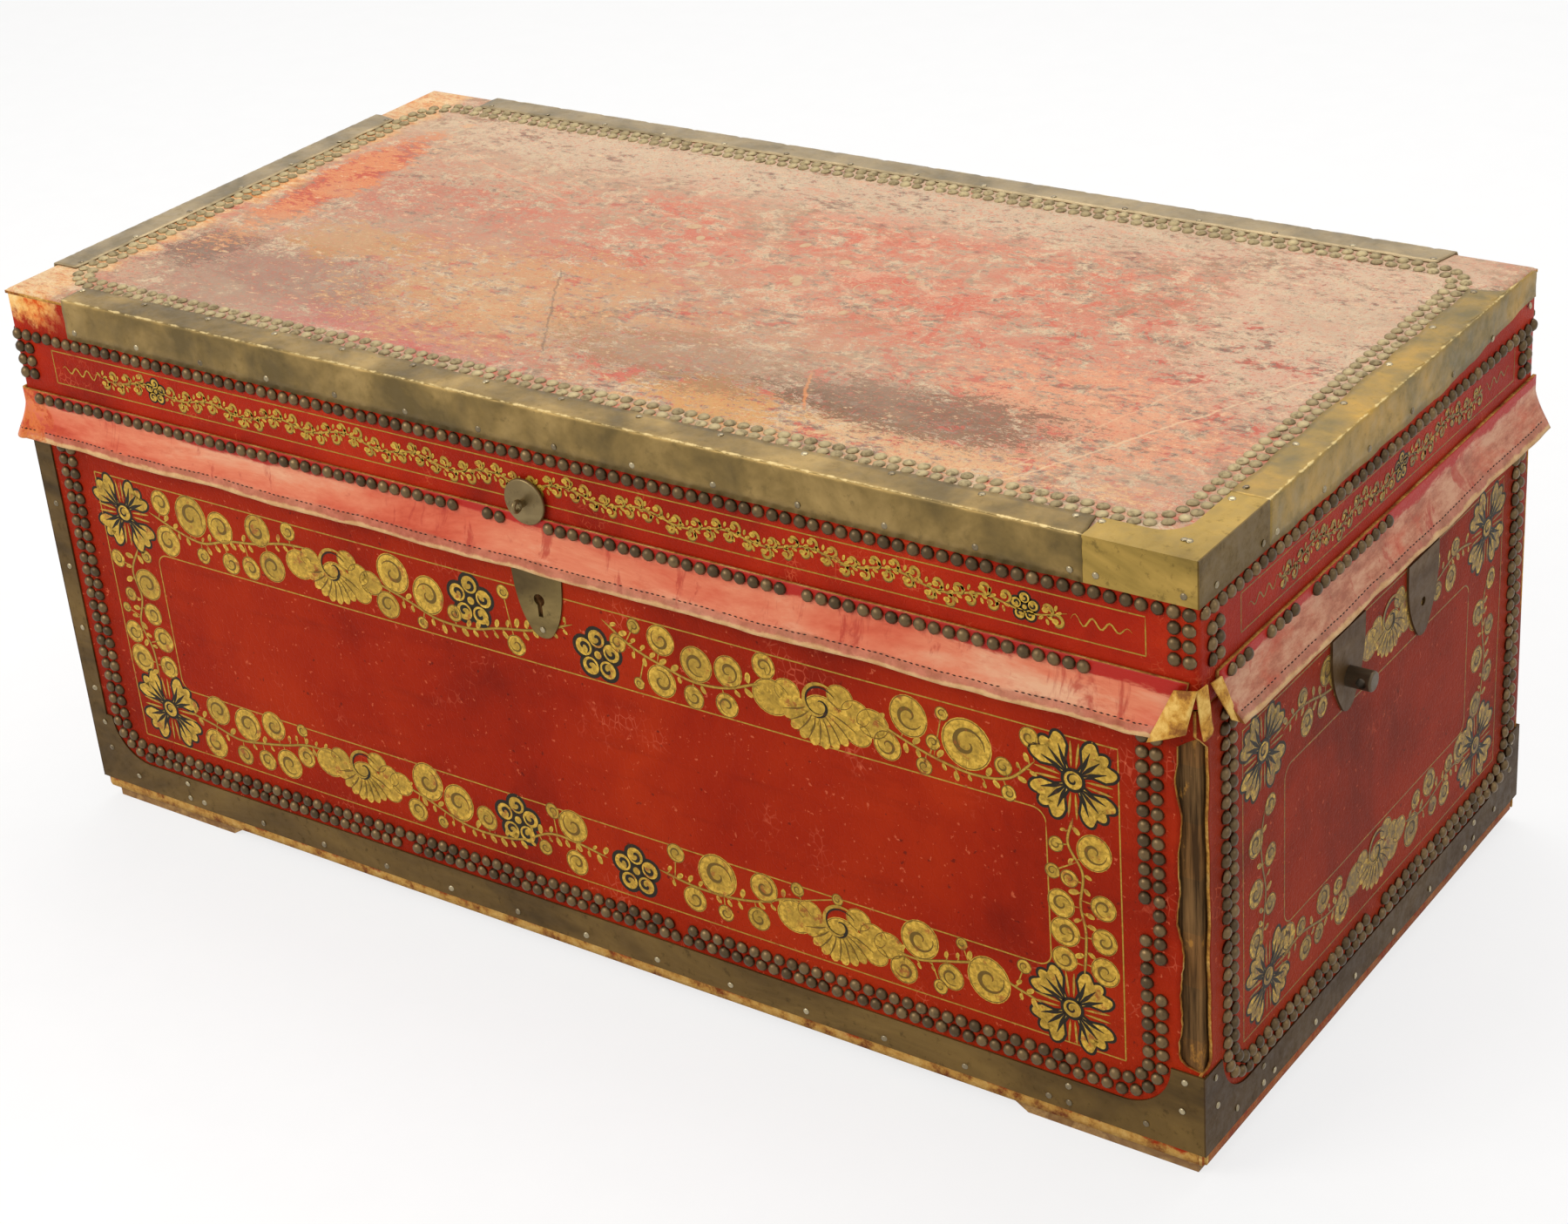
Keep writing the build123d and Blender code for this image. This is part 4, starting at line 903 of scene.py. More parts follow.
front_paint = Painting()
frame_line(front_paint, ((-402, 68), (406, 279)))
frame_line(front_paint, ((-353, 118), (358, 226)), 9.0)
for *place, radius in ((-379, 252, 30.0), (-371, 97, 31.0), (377, 251, 31.0), (371, 93, 31.0)):
    corner_flower(front_paint, place, radius)
for place in ((-63, 259), (38, 245), (-48, 99), (49, 89)):
    rosette(front_paint, place, 19.0)
for place, width, height in (
    ((-183, 250), 84.0, 46.0), ((205, 250), 96.0, 46.0),
    ((-185, 96), 86.0, 44.0), ((207, 94), 92.0, 46.0),
):
    shell(front_paint, place, width, height)
for knots, leaves in (
    (
        [(-353, 258), (-330, 250), (-305, 245), (-280, 252), (-254, 256), (-228, 262), (-205, 264)],
        [(-340, 268, 9), (-312, 264, 14.5), (-285, 261, 11.5), (-339, 239, 11), (-306, 235, 6),
         (-280, 235, 8), (-261, 236, 8), (-249, 267, 11.5), (-240, 242, 11.5), (-220, 273, 6.5)],
    ),
    (
        [(-150, 254), (-120, 246), (-94, 238), (-66, 238), (-42, 244), (-12, 250), (20, 262)],
        [(-129, 263, 13.5), (-137, 238, 10), (-100, 254, 13), (-108, 232, 4.5), (-79, 246, 6),
         (-29, 235, 7.5), (-35, 272, 5)],
    ),
    (
        [(44, 272), (66, 258), (90, 250), (112, 245), (136, 247), (160, 256), (180, 262)],
        [(69, 273, 5), (89, 268, 10.5), (115, 258, 12), (139, 259, 10.5), (87, 239, 11),
         (111, 234, 7.5), (136, 235, 8.5), (166, 270, 8.5), (69, 233, 4), (55, 258, 6.5)],
    ),
    (
        [(240, 256), (262, 247), (284, 240), (310, 236), (334, 240), (352, 256)],
        [(268, 263, 13), (252, 239, 9.5), (284, 250, 5), (291, 271, 4.5), (277, 232, 5.5),
         (307, 255, 17), (349, 271, 6.5), (331, 247, 6), (334, 230, 5)],
    ),
    (
        [(-352, 100), (-330, 96), (-305, 90), (-282, 93), (-258, 98), (-235, 104), (-212, 104)],
        [(-321, 109, 11), (-293, 105, 12.5), (-267, 111, 11), (-329, 80, 10.5), (-301, 78, 7.5),
         (-279, 80, 8), (-257, 83, 11.5), (-239, 94, 8), (-239, 115, 5)],
    ),
    (
        [(-150, 98), (-124, 90), (-100, 82), (-76, 80), (-48, 84), (-22, 96), (0, 96), (26, 92)],
        [(-126, 106, 13.5), (-100, 97, 13), (-76, 92, 8.5), (-139, 80, 8.5), (-117, 77, 4.5),
         (-17, 115, 5.5), (-27, 84, 5.5), (-1, 108, 12), (-1, 80, 9)],
    ),
    (
        [(68, 96), (94, 92), (120, 92), (145, 96), (165, 104), (180, 108)],
        [(83, 113, 7), (115, 106, 15), (151, 108, 10.5), (95, 82, 9), (119, 79, 6),
         (145, 83, 8.5), (177, 115, 5), (207, 117, 4)],
    ),
    (
        [(236, 96), (262, 92), (286, 98), (312, 104), (330, 96), (350, 90)],
        [(266, 107, 13.5), (253, 81, 10), (287, 87, 9), (279, 77, 5), (314, 94, 15),
         (296, 114, 4), (339, 112, 5)],
    ),
    (
        [(-372, 226), (-382, 206), (-378, 186), (-384, 164), (-377, 144), (-376, 122)],
        [(-395, 213, 6.5), (-365, 221, 5), (-369, 198, 12), (-389, 186, 5.5), (-396, 174, 4),
         (-370, 174, 8.5), (-393, 155, 8.5), (-364, 155, 9.5), (-390, 134, 10.5), (-364, 133, 8.5)],
    ),
    (
        [(376, 226), (372, 208), (381, 190), (379, 168), (382, 148), (380, 118)],
        [(389, 206, 11.5), (361, 186, 5), (372, 184, 6), (366, 165, 9), (394, 170, 8.5),
         (368, 146, 10), (394, 147, 8.5), (367, 127, 8.5), (394, 126, 9.5), (364, 205, 5)],
    ),
):
    stem_line(front_paint, knots, leaves)
paint_on("paint_front", "front", front_paint, inks_front)


def end_painting():
    """The border on an end wall, drawn along Y: flowers at the corners, a shell in the
    middle of the top and of the foot, and curled leaves between."""
    paint = Painting()
    near, far = FRONT + 74, FRONT + 384
    high, low = 253.0, 96.0
    frame_line(paint, ((near - 25, low - 28), (far + 25, high + 26)))
    frame_line(paint, ((near + 27, low + 22), (far - 26, high - 26)), 9.0)
    for place in ((near, high), (near + 6, low), (far, high), (far - 6, low)):
        corner_flower(paint, place, 30.0)
    middle = (near + far) / 2
    shell(paint, (middle + 12, high), 78.0, 44.0)
    shell(paint, (middle - 2, low), 84.0, 44.0)
    for hand in (-1, 1):
        for height, stations in ((high, (48, 74, 100)), (low, (50, 76, 100, 124))):
            leaves = []
            for number, station in enumerate(stations):
                swing = 11.0 if number % 2 else -10.0
                leaves.append((middle + hand * station, height + swing, 10.5 - 1.2 * (number % 3)))
                leaves.append((middle + hand * (station + 6), height - 0.9 * swing, 6.5))
            knots = [(middle + hand * station, height + 4 * math.sin(station / 14))
                     for station in range(40, 134, 13)]
            stem_line(paint, knots, leaves)
        column = near if hand < 0 else far
        knots = [(column + 3 * math.sin(z / 11), z) for z in range(122, 230, 18)]
        leaves = [(column + (9 if number % 2 else -9), z, 9.0 - 2 * (number % 2))
                  for number, z in enumerate(range(128, 226, 17))]
        stem_line(paint, knots, leaves)
    return paint


for side in ("right", "left"):
    paint_on(f"paint_{side}", side, end_painting(), inks_side)
back_paint = Painting()
frame_line(back_paint, ((-402, 68), (402, 266)))
frame_line(back_paint, ((-392, 78), (392, 256)), 9.0)
paint_on("paint_back", "back", back_paint, inks_side)


# ---- Brass of the body -----------------------------------------------------------------
# Thin rolled brass, brown with age and unevenly rubbed, round the foot and up the left
# corners, with small round pins.
def brass(name, dull, olive, glow, rough=(0.34, 0.55), dent=0.5, metallic=0.7):
    """Old sheet brass: streaked brown to olive, brighter where hands rub it, and dented. On the
    ends of the chest it is darkened towards dark brown, a painted shade for the ends turned
    from the light."""
    metal = Shader(name, Metallic=metallic, Specular_IOR_Level=0.15)
    streaks = metal.noise(60.0, 5.0, 0.62, 0.8, where=metal.stretched((0.3, 0.3, 1.0)))
    spots = metal.noise(7.0, 5.0, 0.7)
    dents = metal.noise(26.0, 2.0, 0.45)
    colour = metal.tones(streaks, (0.34, dull), (0.5, olive), (0.68, glow))
    colour = metal.over(colour, dull, spots, 0.56, 0.7, 0.6)
    # Painted shade: the ends of the chest, turned from the light, are darkened towards dark brown.
    painted_shade_on_ends = metal.ramp(abs(metal.axis("X")), RIGHT - 0.2, RIGHT + 0.6, 0.0, 0.7)
    colour = metal.mix(painted_shade_on_ends, colour, rgb(56, 36, 14))
    metal.bump((dents, 1.2 * dent), (spots, 0.08))
    return metal.finish(colour, metal.ramp(spots, 0.3, 0.7, *rough))


body_brass = brass(
    "brass_foot", rgb(62, 46, 22), rgb(92, 70, 34), rgb(120, 94, 48), (0.42, 0.6), metallic=0.4
)
dress(body_brass, "corner_strip_front_left", "corner_strip_back_left")
dress(body_brass, *(name for name in nodes if name.startswith(("base_band_", "base_corner_"))))


# ---- Nails and pins --------------------------------------------------------------------
# Domed nails with brown brass heads, touching or nearly so, each set a little crooked. The
# small pins of the sheet brass are flatter.
def islands(name):
    """The middle of each separate solid of a CAD node and its size, in millimetres."""
    work = bmesh.new()
    work.from_mesh(nodes[name].data)
    bmesh.ops.remove_doubles(work, verts=work.verts, dist=1e-6)
    seen, found = set(), []
    for first in work.verts:
        if first in seen:
            continue
        group, waiting = [], [first]
        seen.add(first)
        while waiting:
            vert = waiting.pop()
            group.append(vert.co[:])
            for edge in vert.link_edges:
                other = edge.other_vert(vert)
                if other not in seen:
                    seen.add(other)
                    waiting.append(other)
        found.append((np.min(group, 0) / MM, np.max(group, 0) / MM))
    work.free()
    return found


HEAD_SIDES = 10
HEAD_PROFILE = ((1.0, 0.0), (0.99, 0.18), (0.86, 0.56), (0.58, 0.85), (0.26, 0.98))


def heads(name, node, body, material, seed, tilt=0.10):
    """Round heads in the places of a CAD node's solids: rings of points from the rim to the
    crown, turned to face out of the wall, slightly tilted, each with its own tone."""
    rng = np.random.default_rng(seed)
    angle = np.arange(HEAD_SIDES) * 2 * np.pi / HEAD_SIDES
    rings = [
        np.stack([r * np.cos(angle), r * np.sin(angle), np.full(HEAD_SIDES, h)], -1)
        for r, h in HEAD_PROFILE
    ]
    shape = np.concatenate(rings + [[[0, 0, 1.0]], [[0, 0, 0.0]]])
    index = np.arange(HEAD_SIDES)
    after = (index + 1) % HEAD_SIDES
    starts = [k * HEAD_SIDES for k in range(len(HEAD_PROFILE))]
    walls = [
        np.stack([low + index, low + after, high + after, high + index], -1)
        for low, high in zip(starts, starts[1:])
    ]
    top, bottom = (np.full(HEAD_SIDES, len(shape) - from_last) for from_last in (2, 1))
    crown = np.stack([starts[-1] + index, starts[-1] + after, top], -1)
    under = np.stack([after, index, bottom], -1)
    points, fours, threes, tones = [], [], [], []
    for number, (low, high) in enumerate(islands(node)):
        size = high - low
        axis = int(np.argmin(size))
        middle = (low + high) / 2
        radius = np.delete(size, axis).mean() / 2
        out = np.zeros(3)
        out[axis] = 1.0 if axis == 2 else np.sign(middle[axis] - (0.0, (FRONT + BACK) / 2)[axis])
        w = unit(out + rng.normal(0, tilt, 3))
        u = unit(np.cross(w, (0.3, 0.5, 0.8)))
        scale = np.array([radius, radius, size[axis] * 0.98]) * rng.uniform(0.95, 1.0)
        turn = np.array([u, np.cross(w, u), w])
        points.append(middle - out * size[axis] / 2 + (shape * scale) @ turn)
        start = number * len(shape)
        fours.append(np.concatenate(walls) + start)
        threes.append(np.concatenate([crown, under]) + start)
        tones.append(np.full(len(shape), rng.uniform()))
    groups = [np.concatenate(fours), np.concatenate(threes)]
    values = {"tone": np.concatenate(tones)}
    build(name, np.concatenate(points), groups, [material], body, [node], values)


def nail_brass(name, dull, bright, rough=(0.24, 0.4)):
    """Smooth brown brass heads, each of its own shade, with dirt in the hollows."""
    metal = Shader(name, Metallic=0.75)
    tarnish = metal.noise(5.0, 4.0, 0.65)
    colour = metal.over(dull, bright, metal.value_of("tone"), 0.0, 1.0)
    colour = metal.over(colour, rgb(70, 54, 36), tarnish, 0.5, 0.68, 0.5)
    metal.bump((tarnish, 0.12))
    return metal.finish(colour, metal.ramp(tarnish, 0.3, 0.7, *rough))


nail_metal = nail_brass("nail_brass", rgb(76, 60, 38), rgb(114, 92, 60), (0.34, 0.48))
pin_metal = nail_brass("pin_brass", rgb(112, 98, 74), rgb(170, 156, 124))
heads("studs_body", "nails_body", "case", nail_metal, 31)
heads("pins_case", "case_pins", "case", pin_metal, 32)


# ---- Lid leather -----------------------------------------------------------------------
# A band round the lid's walls, bright red where it has been kept from wear, and a sheet on
# top that has worn to brown, ochre and pink, with long scratches.
LID_LOW, LID_EDGE = (corner.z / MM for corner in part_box("lid_leather_band"))
CORNER_ROUND = 4.0
PLAN_STEP = 6.0
BAND_ROWS = 16


def round_path(radius, gap):
    """Points round the chest's plan with rounded corners, and the outward direction at each:
    straight runs in steps of about gap, and quarter turns between."""
    points, outs = [], []
    centres = [
        np.array([x, y])
        for x, y in (
            (LEFT + radius, FRONT + radius), (RIGHT - radius, FRONT + radius),
            (RIGHT - radius, BACK - radius), (LEFT + radius, BACK - radius),
        )
    ]
    for number, centre in enumerate(centres):
        begin = math.radians(180 + 90 * number)
        for angle in np.linspace(begin, begin + math.pi / 2, 6):
            out = np.array([math.cos(angle), math.sin(angle)])
            points.append(centre + radius * out)
            outs.append(out)
        start, target = points[-1], centres[(number + 1) % 4] + radius * out
        steps = int(np.linalg.norm(target - start) / gap)
        for share in np.arange(1, steps) / steps:
            points.append((1 - share) * start + share * target)
            outs.append(out)
    return np.array(points), np.array(outs)


def lid_hide():
    """The lid band's leather: clear bright red, browner on the ends, where that is a painted
    shade for the ends turned from the light, and worn to orange and yellow at the front left
    corner."""
    hide = Shader("leather_lid_band", Specular_IOR_Level=0.06)
    clouds = hide.noise(120.0, 5.0, 0.62, 0.4)
    fine = hide.noise(1.1, 3.0, 0.7)
    cracks = hide.cells(4.0, "DISTANCE_TO_EDGE")
    deep, main, bright = rgb(126, 24, 8), rgb(160, 34, 10), rgb(182, 48, 15)
    colour = hide.tones(clouds, (0.3, deep), (0.5, main), (0.7, bright))
    mask = hide.ramp(hide.noise(40.0, 5.0, 0.7), 0.55, 0.7, 0.0, 0.55)
    colour = hide.mix(hide.ramp(cracks, 0.02, 0.1, 1.0, 0.0) * mask, colour, rgb(226, 110, 70))
    # Painted shade: the ends of the band, turned from the light, are darkened towards brown.
    colour = hide.over(colour, rgb(118, 40, 28), abs(hide.axis("X")), RIGHT - 2, RIGHT + 1, 0.35)
    colour = hide.over(colour, rgb(112, 34, 22), hide.axis("Y"), BACK - 3, BACK - 1, 0.6)
    ragged = hide.ramp(hide.noise(16.0, 6.0, 0.7), 0.2, 0.8, -14.0, 14.0)
    corner = hide.ramp(hide.axis("X") + ragged, LEFT + 30, LEFT + 58, 1.0, 0.0)
    high = hide.ramp(hide.axis("Z") + ragged, LID_EDGE - 24, LID_EDGE - 8)
    orange, yellow, pale = rgb(208, 84, 24), rgb(232, 170, 92), rgb(240, 206, 140)
    bare = hide.tones(hide.noise(18.0, 5.0, 0.7), (0.36, orange), (0.5, yellow), (0.66, pale))
    colour = hide.mix(corner * high, colour, bare)
    grain = hide.cells(1.5)
    hide.bump((grain, 0.08), (fine, 0.08), (hide.ramp(cracks, 0.0, 0.1), 0.1), (clouds, 0.8))
    return hide.finish(colour, hide.spread(fine, 0.36, 0.5))


def top_hide():
    """The lid's top: pale beige at the back, the left and the right edge, partly dust and partly
    a painted sheen where light glances off the lacquer; red and pink flecks to the right, brown
    and ochre wear to the front, an orange scuff at the left, and long scratches. Patches and
    scratches are placed in X, and in Y from the front."""
    hide = Shader("leather_lid_top", Specular_IOR_Level=0.22)
    drift = hide.stretched((0.65, 1.3, 1.0))
    broad = hide.noise(120.0, 5.0, 0.6, 0.4, where=drift)
    middling = hide.noise(30.0, 6.0, 0.72, 0.5, where=drift)
    fine = hide.noise(7.0, 6.0, 0.8, 0.3, where=drift)
    grain = hide.noise(3.2, 4.0, 0.8)
    x, y = hide.axis("X"), hide.axis("Y") - FRONT
    mottle = middling * 0.4 + fine * 0.6
    # dust is a pale beige that stands both for real dust and for a painted sheen on the top.
    dust, rose, red = rgb(178, 152, 124), rgb(186, 132, 104), rgb(186, 86, 64)
    brown, umber, cream = rgb(134, 106, 86), rgb(98, 72, 52), rgb(216, 188, 150)
    colour = hide.tones(mottle, (0.42, brown), (0.475, dust), (0.53, rose), (0.585, red))

    def patch(base, at_x, at_y, reach_x, reach_y, strength, tone, ragged):
        """Lays a tone over a worn patch whose edge is ragged."""
        across = (x - at_x) / reach_x
        deep = (y - at_y) / reach_y
        away = across * across + deep * deep
        away = away + hide.ramp(mottle, 0.38, 0.62, ragged, -ragged)
        return hide.over(base, tone, away, 0.95, 0.55, strength)

    def scratch(base, start, end, width, strength, tone):
        """Lays a tone along a thin straight scratch."""
        start, end = np.array(start), np.array(end)
        long = math.dist(start, end)
        run_x, run_y = (float(share) for share in (end - start) / long)
        mid_x, mid_y = (float(place) for place in (start + end) / 2)
        across = abs((y - mid_y) * run_x - (x - mid_x) * run_y + hide.spread(middling, -1.6, 1.6))
        along = abs((x - mid_x) * run_x + (y - mid_y) * run_y)
        inside = hide.ramp(along, long / 2 - 12, long / 2, strength, 0.0)
        return hide.mix(inside * hide.ramp(across, 0.3 * width, width, 1.0, 0.0), base, tone)

    blots = hide.noise(22.0, 8.0, 0.78, 0.6)
    stains = hide.noise(40.0, 8.0, 0.8, 0.8, where=hide.stretched((1, 1, 1), (3, 1, 0)))
    reddest = hide.ramp(y, 270.0, 370.0, 0.75, 0.2) * hide.ramp(x, -330.0, -120.0, 0.5, 1.0)
    colour = hide.over(colour, rgb(214, 192, 156), blots, 0.53, 0.56, 0.6)
    colour = hide.mix(reddest * hide.ramp(blots, 0.46, 0.43), colour, rgb(192, 74, 54))
    colour = hide.over(colour, rgb(144, 112, 82), stains, 0.55, 0.58, 0.6)
    for worn_patch in (
        # Dust and painted sheen: pale beige at the back left.
        (-270, 280, 130, 110, 0.50, dust, 1.3),
        (-230, 230, 150, 60, 0.55, rgb(168, 92, 74), 1.8),
        # Painted sheen: a pale beige band along the back, where light glances off the lacquer.
        (-60, 400, 420, 55, 0.72, rgb(194, 174, 146), 1.0),
        (60, 240, 240, 105, 0.45, rgb(200, 108, 82), 2.2),
        (330, 150, 120, 130, 0.50, rgb(190, 134, 108), 1.6),
        # Painted sheen: pale beige along the right edge towards the back.
        (385, 310, 80, 140, 0.66, rgb(198, 174, 146), 1.0),
        (-290, 90, 120, 70, 0.75, rgb(136, 106, 90), 1.0),
        (-140, 50, 130, 32, 0.60, rgb(178, 98, 92), 1.0),
        (-285, 168, 52, 36, 0.75, rgb(182, 134, 78), 1.0),
        (-60, 130, 170, 85, 0.50, rgb(166, 124, 90), 1.7),
        (-110, 135, 110, 60, 0.55, rgb(196, 152, 100), 2.2),
        (300, 120, 90, 70, 0.60, rgb(214, 150, 110), 1.6),
        (190, 50, 150, 30, 0.60, rgb(206, 168, 118), 1.6),
        (105, 62, 70, 30, 0.75, rgb(190, 138, 72), 1.2),
        (60, 100, 110, 34, 0.60, rgb(126, 94, 66), 1.3),
        (222, 98, 110, 34, 0.80, rgb(96, 70, 50), 1.0),
        (-378, 118, 32, 46, 0.85, rgb(112, 86, 70), 0.8),
        (-380, 262, 28, 112, 0.92, rgb(182, 66, 36), 0.5),
        (-378, 240, 20, 100, 0.6, rgb(212, 150, 96), 2.6),
    ):
        colour = patch(colour, *worn_patch)
    left_end = hide.ramp(x + hide.spread(middling, -12.0, 12.0), LEFT + 34, LEFT + 52, 1.0, 0.0)
    amber, sand, pale = rgb(206, 132, 66), rgb(214, 176, 126), rgb(222, 194, 150)
    bare = hide.tones(mottle, (0.42, amber), (0.5, sand), (0.58, pale))
    colour = hide.mix(left_end, colour, bare)
    colour = hide.over(colour, cream, fine, 0.56, 0.64, 0.7)
    colour = hide.over(colour, umber, fine, 0.43, 0.35, 0.5)
    colour = hide.over(colour, red, grain, 0.52, 0.62, 0.55)
    colour = hide.over(colour, brown, grain, 0.46, 0.34, 0.45)
    for line in (
        ((423, 266), (302, 12), 1.4, 0.55, cream),
        ((360, 240), (300, 20), 1.1, 0.35, cream),
        ((-341, 345), (-189, 290), 1.1, 0.6, rgb(214, 150, 120)),
        ((129, 122), (160, 68), 1.6, 0.7, rgb(210, 130, 70)),
        ((-122, 193), (-38, 66), 1.2, 0.5, rgb(92, 76, 64)),
    ):
        colour = scratch(colour, *line)
    # A broad wash of pale beige: dust, and partly a painted sheen over the whole top.
    colour = hide.over(colour, dust, broad, 0.45, 0.65, 0.3)
    hide.bump((grain, 0.10), (fine, 0.18), (middling, 0.5))
    return hide.finish(colour, hide.spread(fine, 0.42, 0.6))


plan, plan_out = round_path(CORNER_ROUND, PLAN_STEP)
heights = np.linspace(LID_LOW + 4, LID_EDGE - 3, BAND_ROWS)
heights = np.array([LID_LOW, *heights, LID_EDGE - 1, LID_EDGE])
inset_at_top = np.array([0.0] * (len(heights) - 2) + [0.35, 0.9])[None, :, None]


def upright(path):
    """A path in the plan drawn up into a grid of points at all the band's heights."""
    tall = np.broadcast_to(heights[None, :, None], (len(path), len(heights), 1))
    return np.concatenate([path[:, None, :] - inset_at_top * plan_out[:, None, :], tall], -1)


build_sheet(
    "lid_band", upright(plan), upright(plan - plan_out * LEATHER), [lid_hide(), flesh_side],
    "lid", "leather", ["lid_leather_band"], wrap=True,
)


def from_border(x, y):
    """How far places on the lid's top are from its nearest border."""
    return np.minimum(np.minimum(x - LEFT, RIGHT - x), np.minimum(y - FRONT, BACK - y))


def hollows(x, y):
    """How far the lid's top stands off its plane: broad shallow hollows away from its edge."""
    return 0.35 * step(from_border(x, y), 40, 90) * (ripple(7, 180.0, x, y) - 0.6)


def close_edged(low, high, count):
    """Even steps between two borders, with closer ones near each for the rounded edge."""
    near = np.array([0.0, 1.0, 2.5])
    return np.concatenate([low + near, np.linspace(low + 5, high - 5, count), high - near[::-1]])


TOP_ROWS, TOP_COLUMNS = 150, 74
TOP_ROUND, TOP_DROP = 4.0, 1.8
grid_x, grid_y = np.meshgrid(
    close_edged(LEFT, RIGHT, TOP_ROWS), close_edged(FRONT, BACK, TOP_COLUMNS), indexing="ij"
)
rounded = TOP_DROP * (1 - step(from_border(grid_x, grid_y), 0.0, TOP_ROUND)) ** 1.5
top_outer = np.stack([grid_x, grid_y, LID_TOP + hollows(grid_x, grid_y) - rounded], -1)
top_inner = top_outer - (0, 0, LEATHER)
top_inner[..., 2] = np.minimum(top_inner[..., 2], LID_TOP - LEATHER)
build_sheet(
    "lid_top_leather", top_outer, top_inner, [top_hide(), flesh_side],
    "lid", "leather", ["lid_leather_top"],
)

ghost_paint = Painting()
for x, y, size, turn in (
    (-95, 62, 17, 0.4), (-60, 44, 12, 2.2), (-28, 22, 15, 4.0), (4, 60, 13, 1.1),
    (30, 30, 18, 5.2), (62, 54, 14, 3.1), (90, 20, 16, 0.2), (112, 46, 11, 2.6),
    (-70, 12, 11, 5.5), (44, 2, 12, 1.8), (100, -8, 12, 4.4), (-10, -12, 10, 3.5),
):
    leaf = ring(size * 0.34, size * 0.26, 14) + (size * 0.8, 0)
    ghost_paint.fill(turned(leaf, turn, (x, y)), 1, GILT)
    ghost_paint.stroke(turned(spiral(size, size * 0.2, 0.9, turn), 0, (x, y)), 1.2, 1, GILT, 0.5)
ghost = dark_ink("ghost_of_gilt", rgb(190, 158, 122), rgb(186, 118, 96))
paint_on("paint_lid_top", "top", ghost_paint, [ghost], "lid")


# ---- Lid band's painting ---------------------------------------------------------------
# A narrow vine with small leaves in pairs runs along the band inside a fine gilt line, with
# a black-edged rosette near each end and a plain squiggle to finish it.
def vine(start, end, middle, blooms, seed):
    """The vine's painting from start to end: a waving stem with curls by turns on each side,
    each ending in a bead, small leaves between, and blooms at the listed places."""
    paint = Painting()
    paint.rng = np.random.default_rng(seed)
    frame_line(paint, ((start - 14, middle - 12), (end + 14, middle + 12)), 0.0, 0.8)
    along = np.linspace(start + 30, end - 34, int((end - start) / 3))
    wave = 2.6 * np.sin((along - start) / 9.5) + 1.2 * np.sin((along - start) / 31.0)
    stem = np.stack([along, middle + wave], -1)
    paint.stroke(stem, 1.7, 1, LINE, 0.03)
    paint.stroke(stem, 1.1, 2, GILT, 0.03)
    for number, at in enumerate(np.arange(start + 34, end - 38, 7.0)):
        if any(abs(at - bloom) < 11 for bloom in blooms):
            continue
        base = stem[np.argmin(np.abs(along - at))]
        hand = 1 if number % 2 else -1
        size = paint.rng.uniform(3.8, 4.9)
        heart = base + (paint.rng.uniform(1.0, 3.0), hand * paint.rng.uniform(3.6, 4.8))
        winding = spiral(size, size * 0.3, 0.85 * hand, -hand * 1.9, 14)
        curl = turned(winding, paint.rng.uniform(-0.5, 0.5), heart)
        paint.stroke(curl - (0, 0.6), 2.4, 2, LINE, 0.2)
        paint.stroke(curl, 1.9, 3, GILT, 0.2)
        paint.fill(turned(ring(2.2, 1.8, 10), 0, curl[-1]), 4, GILT)
        for spread, reach in ((-0.9, 3.6), (0.3, 4.2), (1.2, 3.4)):
            tip = base + reach * np.array([math.sin(spread), -hand * math.cos(spread)])
            leaf = turned(ring(2.0, 1.0, 9), math.atan2(tip[1] - base[1], tip[0] - base[0]), tip)
            paint.fill(leaf, 3, GILT)
    for bloom in blooms:
        rosette(paint, (bloom, middle), 9.5)
    for edge, way in ((start, 1), (end, -1)):
        t = np.linspace(0, 1, 26)
        swing = 3.2 * np.sin(t * 22) * (0.6 + t / 2)
        zigzag = np.stack([edge + way * (38 * t - 6), middle + swing], -1)
        paint.stroke(zigzag, 1.1, 2, GILT)
    return paint


VINE_Z = 354.5
front_vine = vine(LEFT + 50, RIGHT - 46, VINE_Z, (-323, 350), 41)
paint_on("paint_lid_front", "front", front_vine, inks_front, "lid")
for side, seed in (("right", 42), ("left", 43)):
    side_vine = vine(FRONT + 62, BACK - 46, VINE_Z - 1, (30,), seed)
    paint_on(f"paint_lid_{side}", side, side_vine, inks_side, "lid")


# ---- Skirt -----------------------------------------------------------------------------
# A strip of leather nailed under the lid's lower row of nails, which hangs over the seam and
# flares. Its foot is folded and stitched. It goes round the left front corner in one piece
# and has split at the right one, where its ends curl.
SKIRT, HEM = 2.2, 0.9
skirt_low, skirt_high = (corner.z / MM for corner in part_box("skirt_front"))
SKIRT_NAILED = 10.5
SKIRT_FLARE = skirt_high - SKIRT_NAILED
FLARE_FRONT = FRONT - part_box("skirt_front")[0].y / MM - SKIRT
FLARE_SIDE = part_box("skirt_right")[1].x / MM - RIGHT - SKIRT
SPLIT_ON_FRONT, SPLIT_ON_SIDE = 6.0, 18.0
END_CURL, END_SLANT = 26.0, 60.0


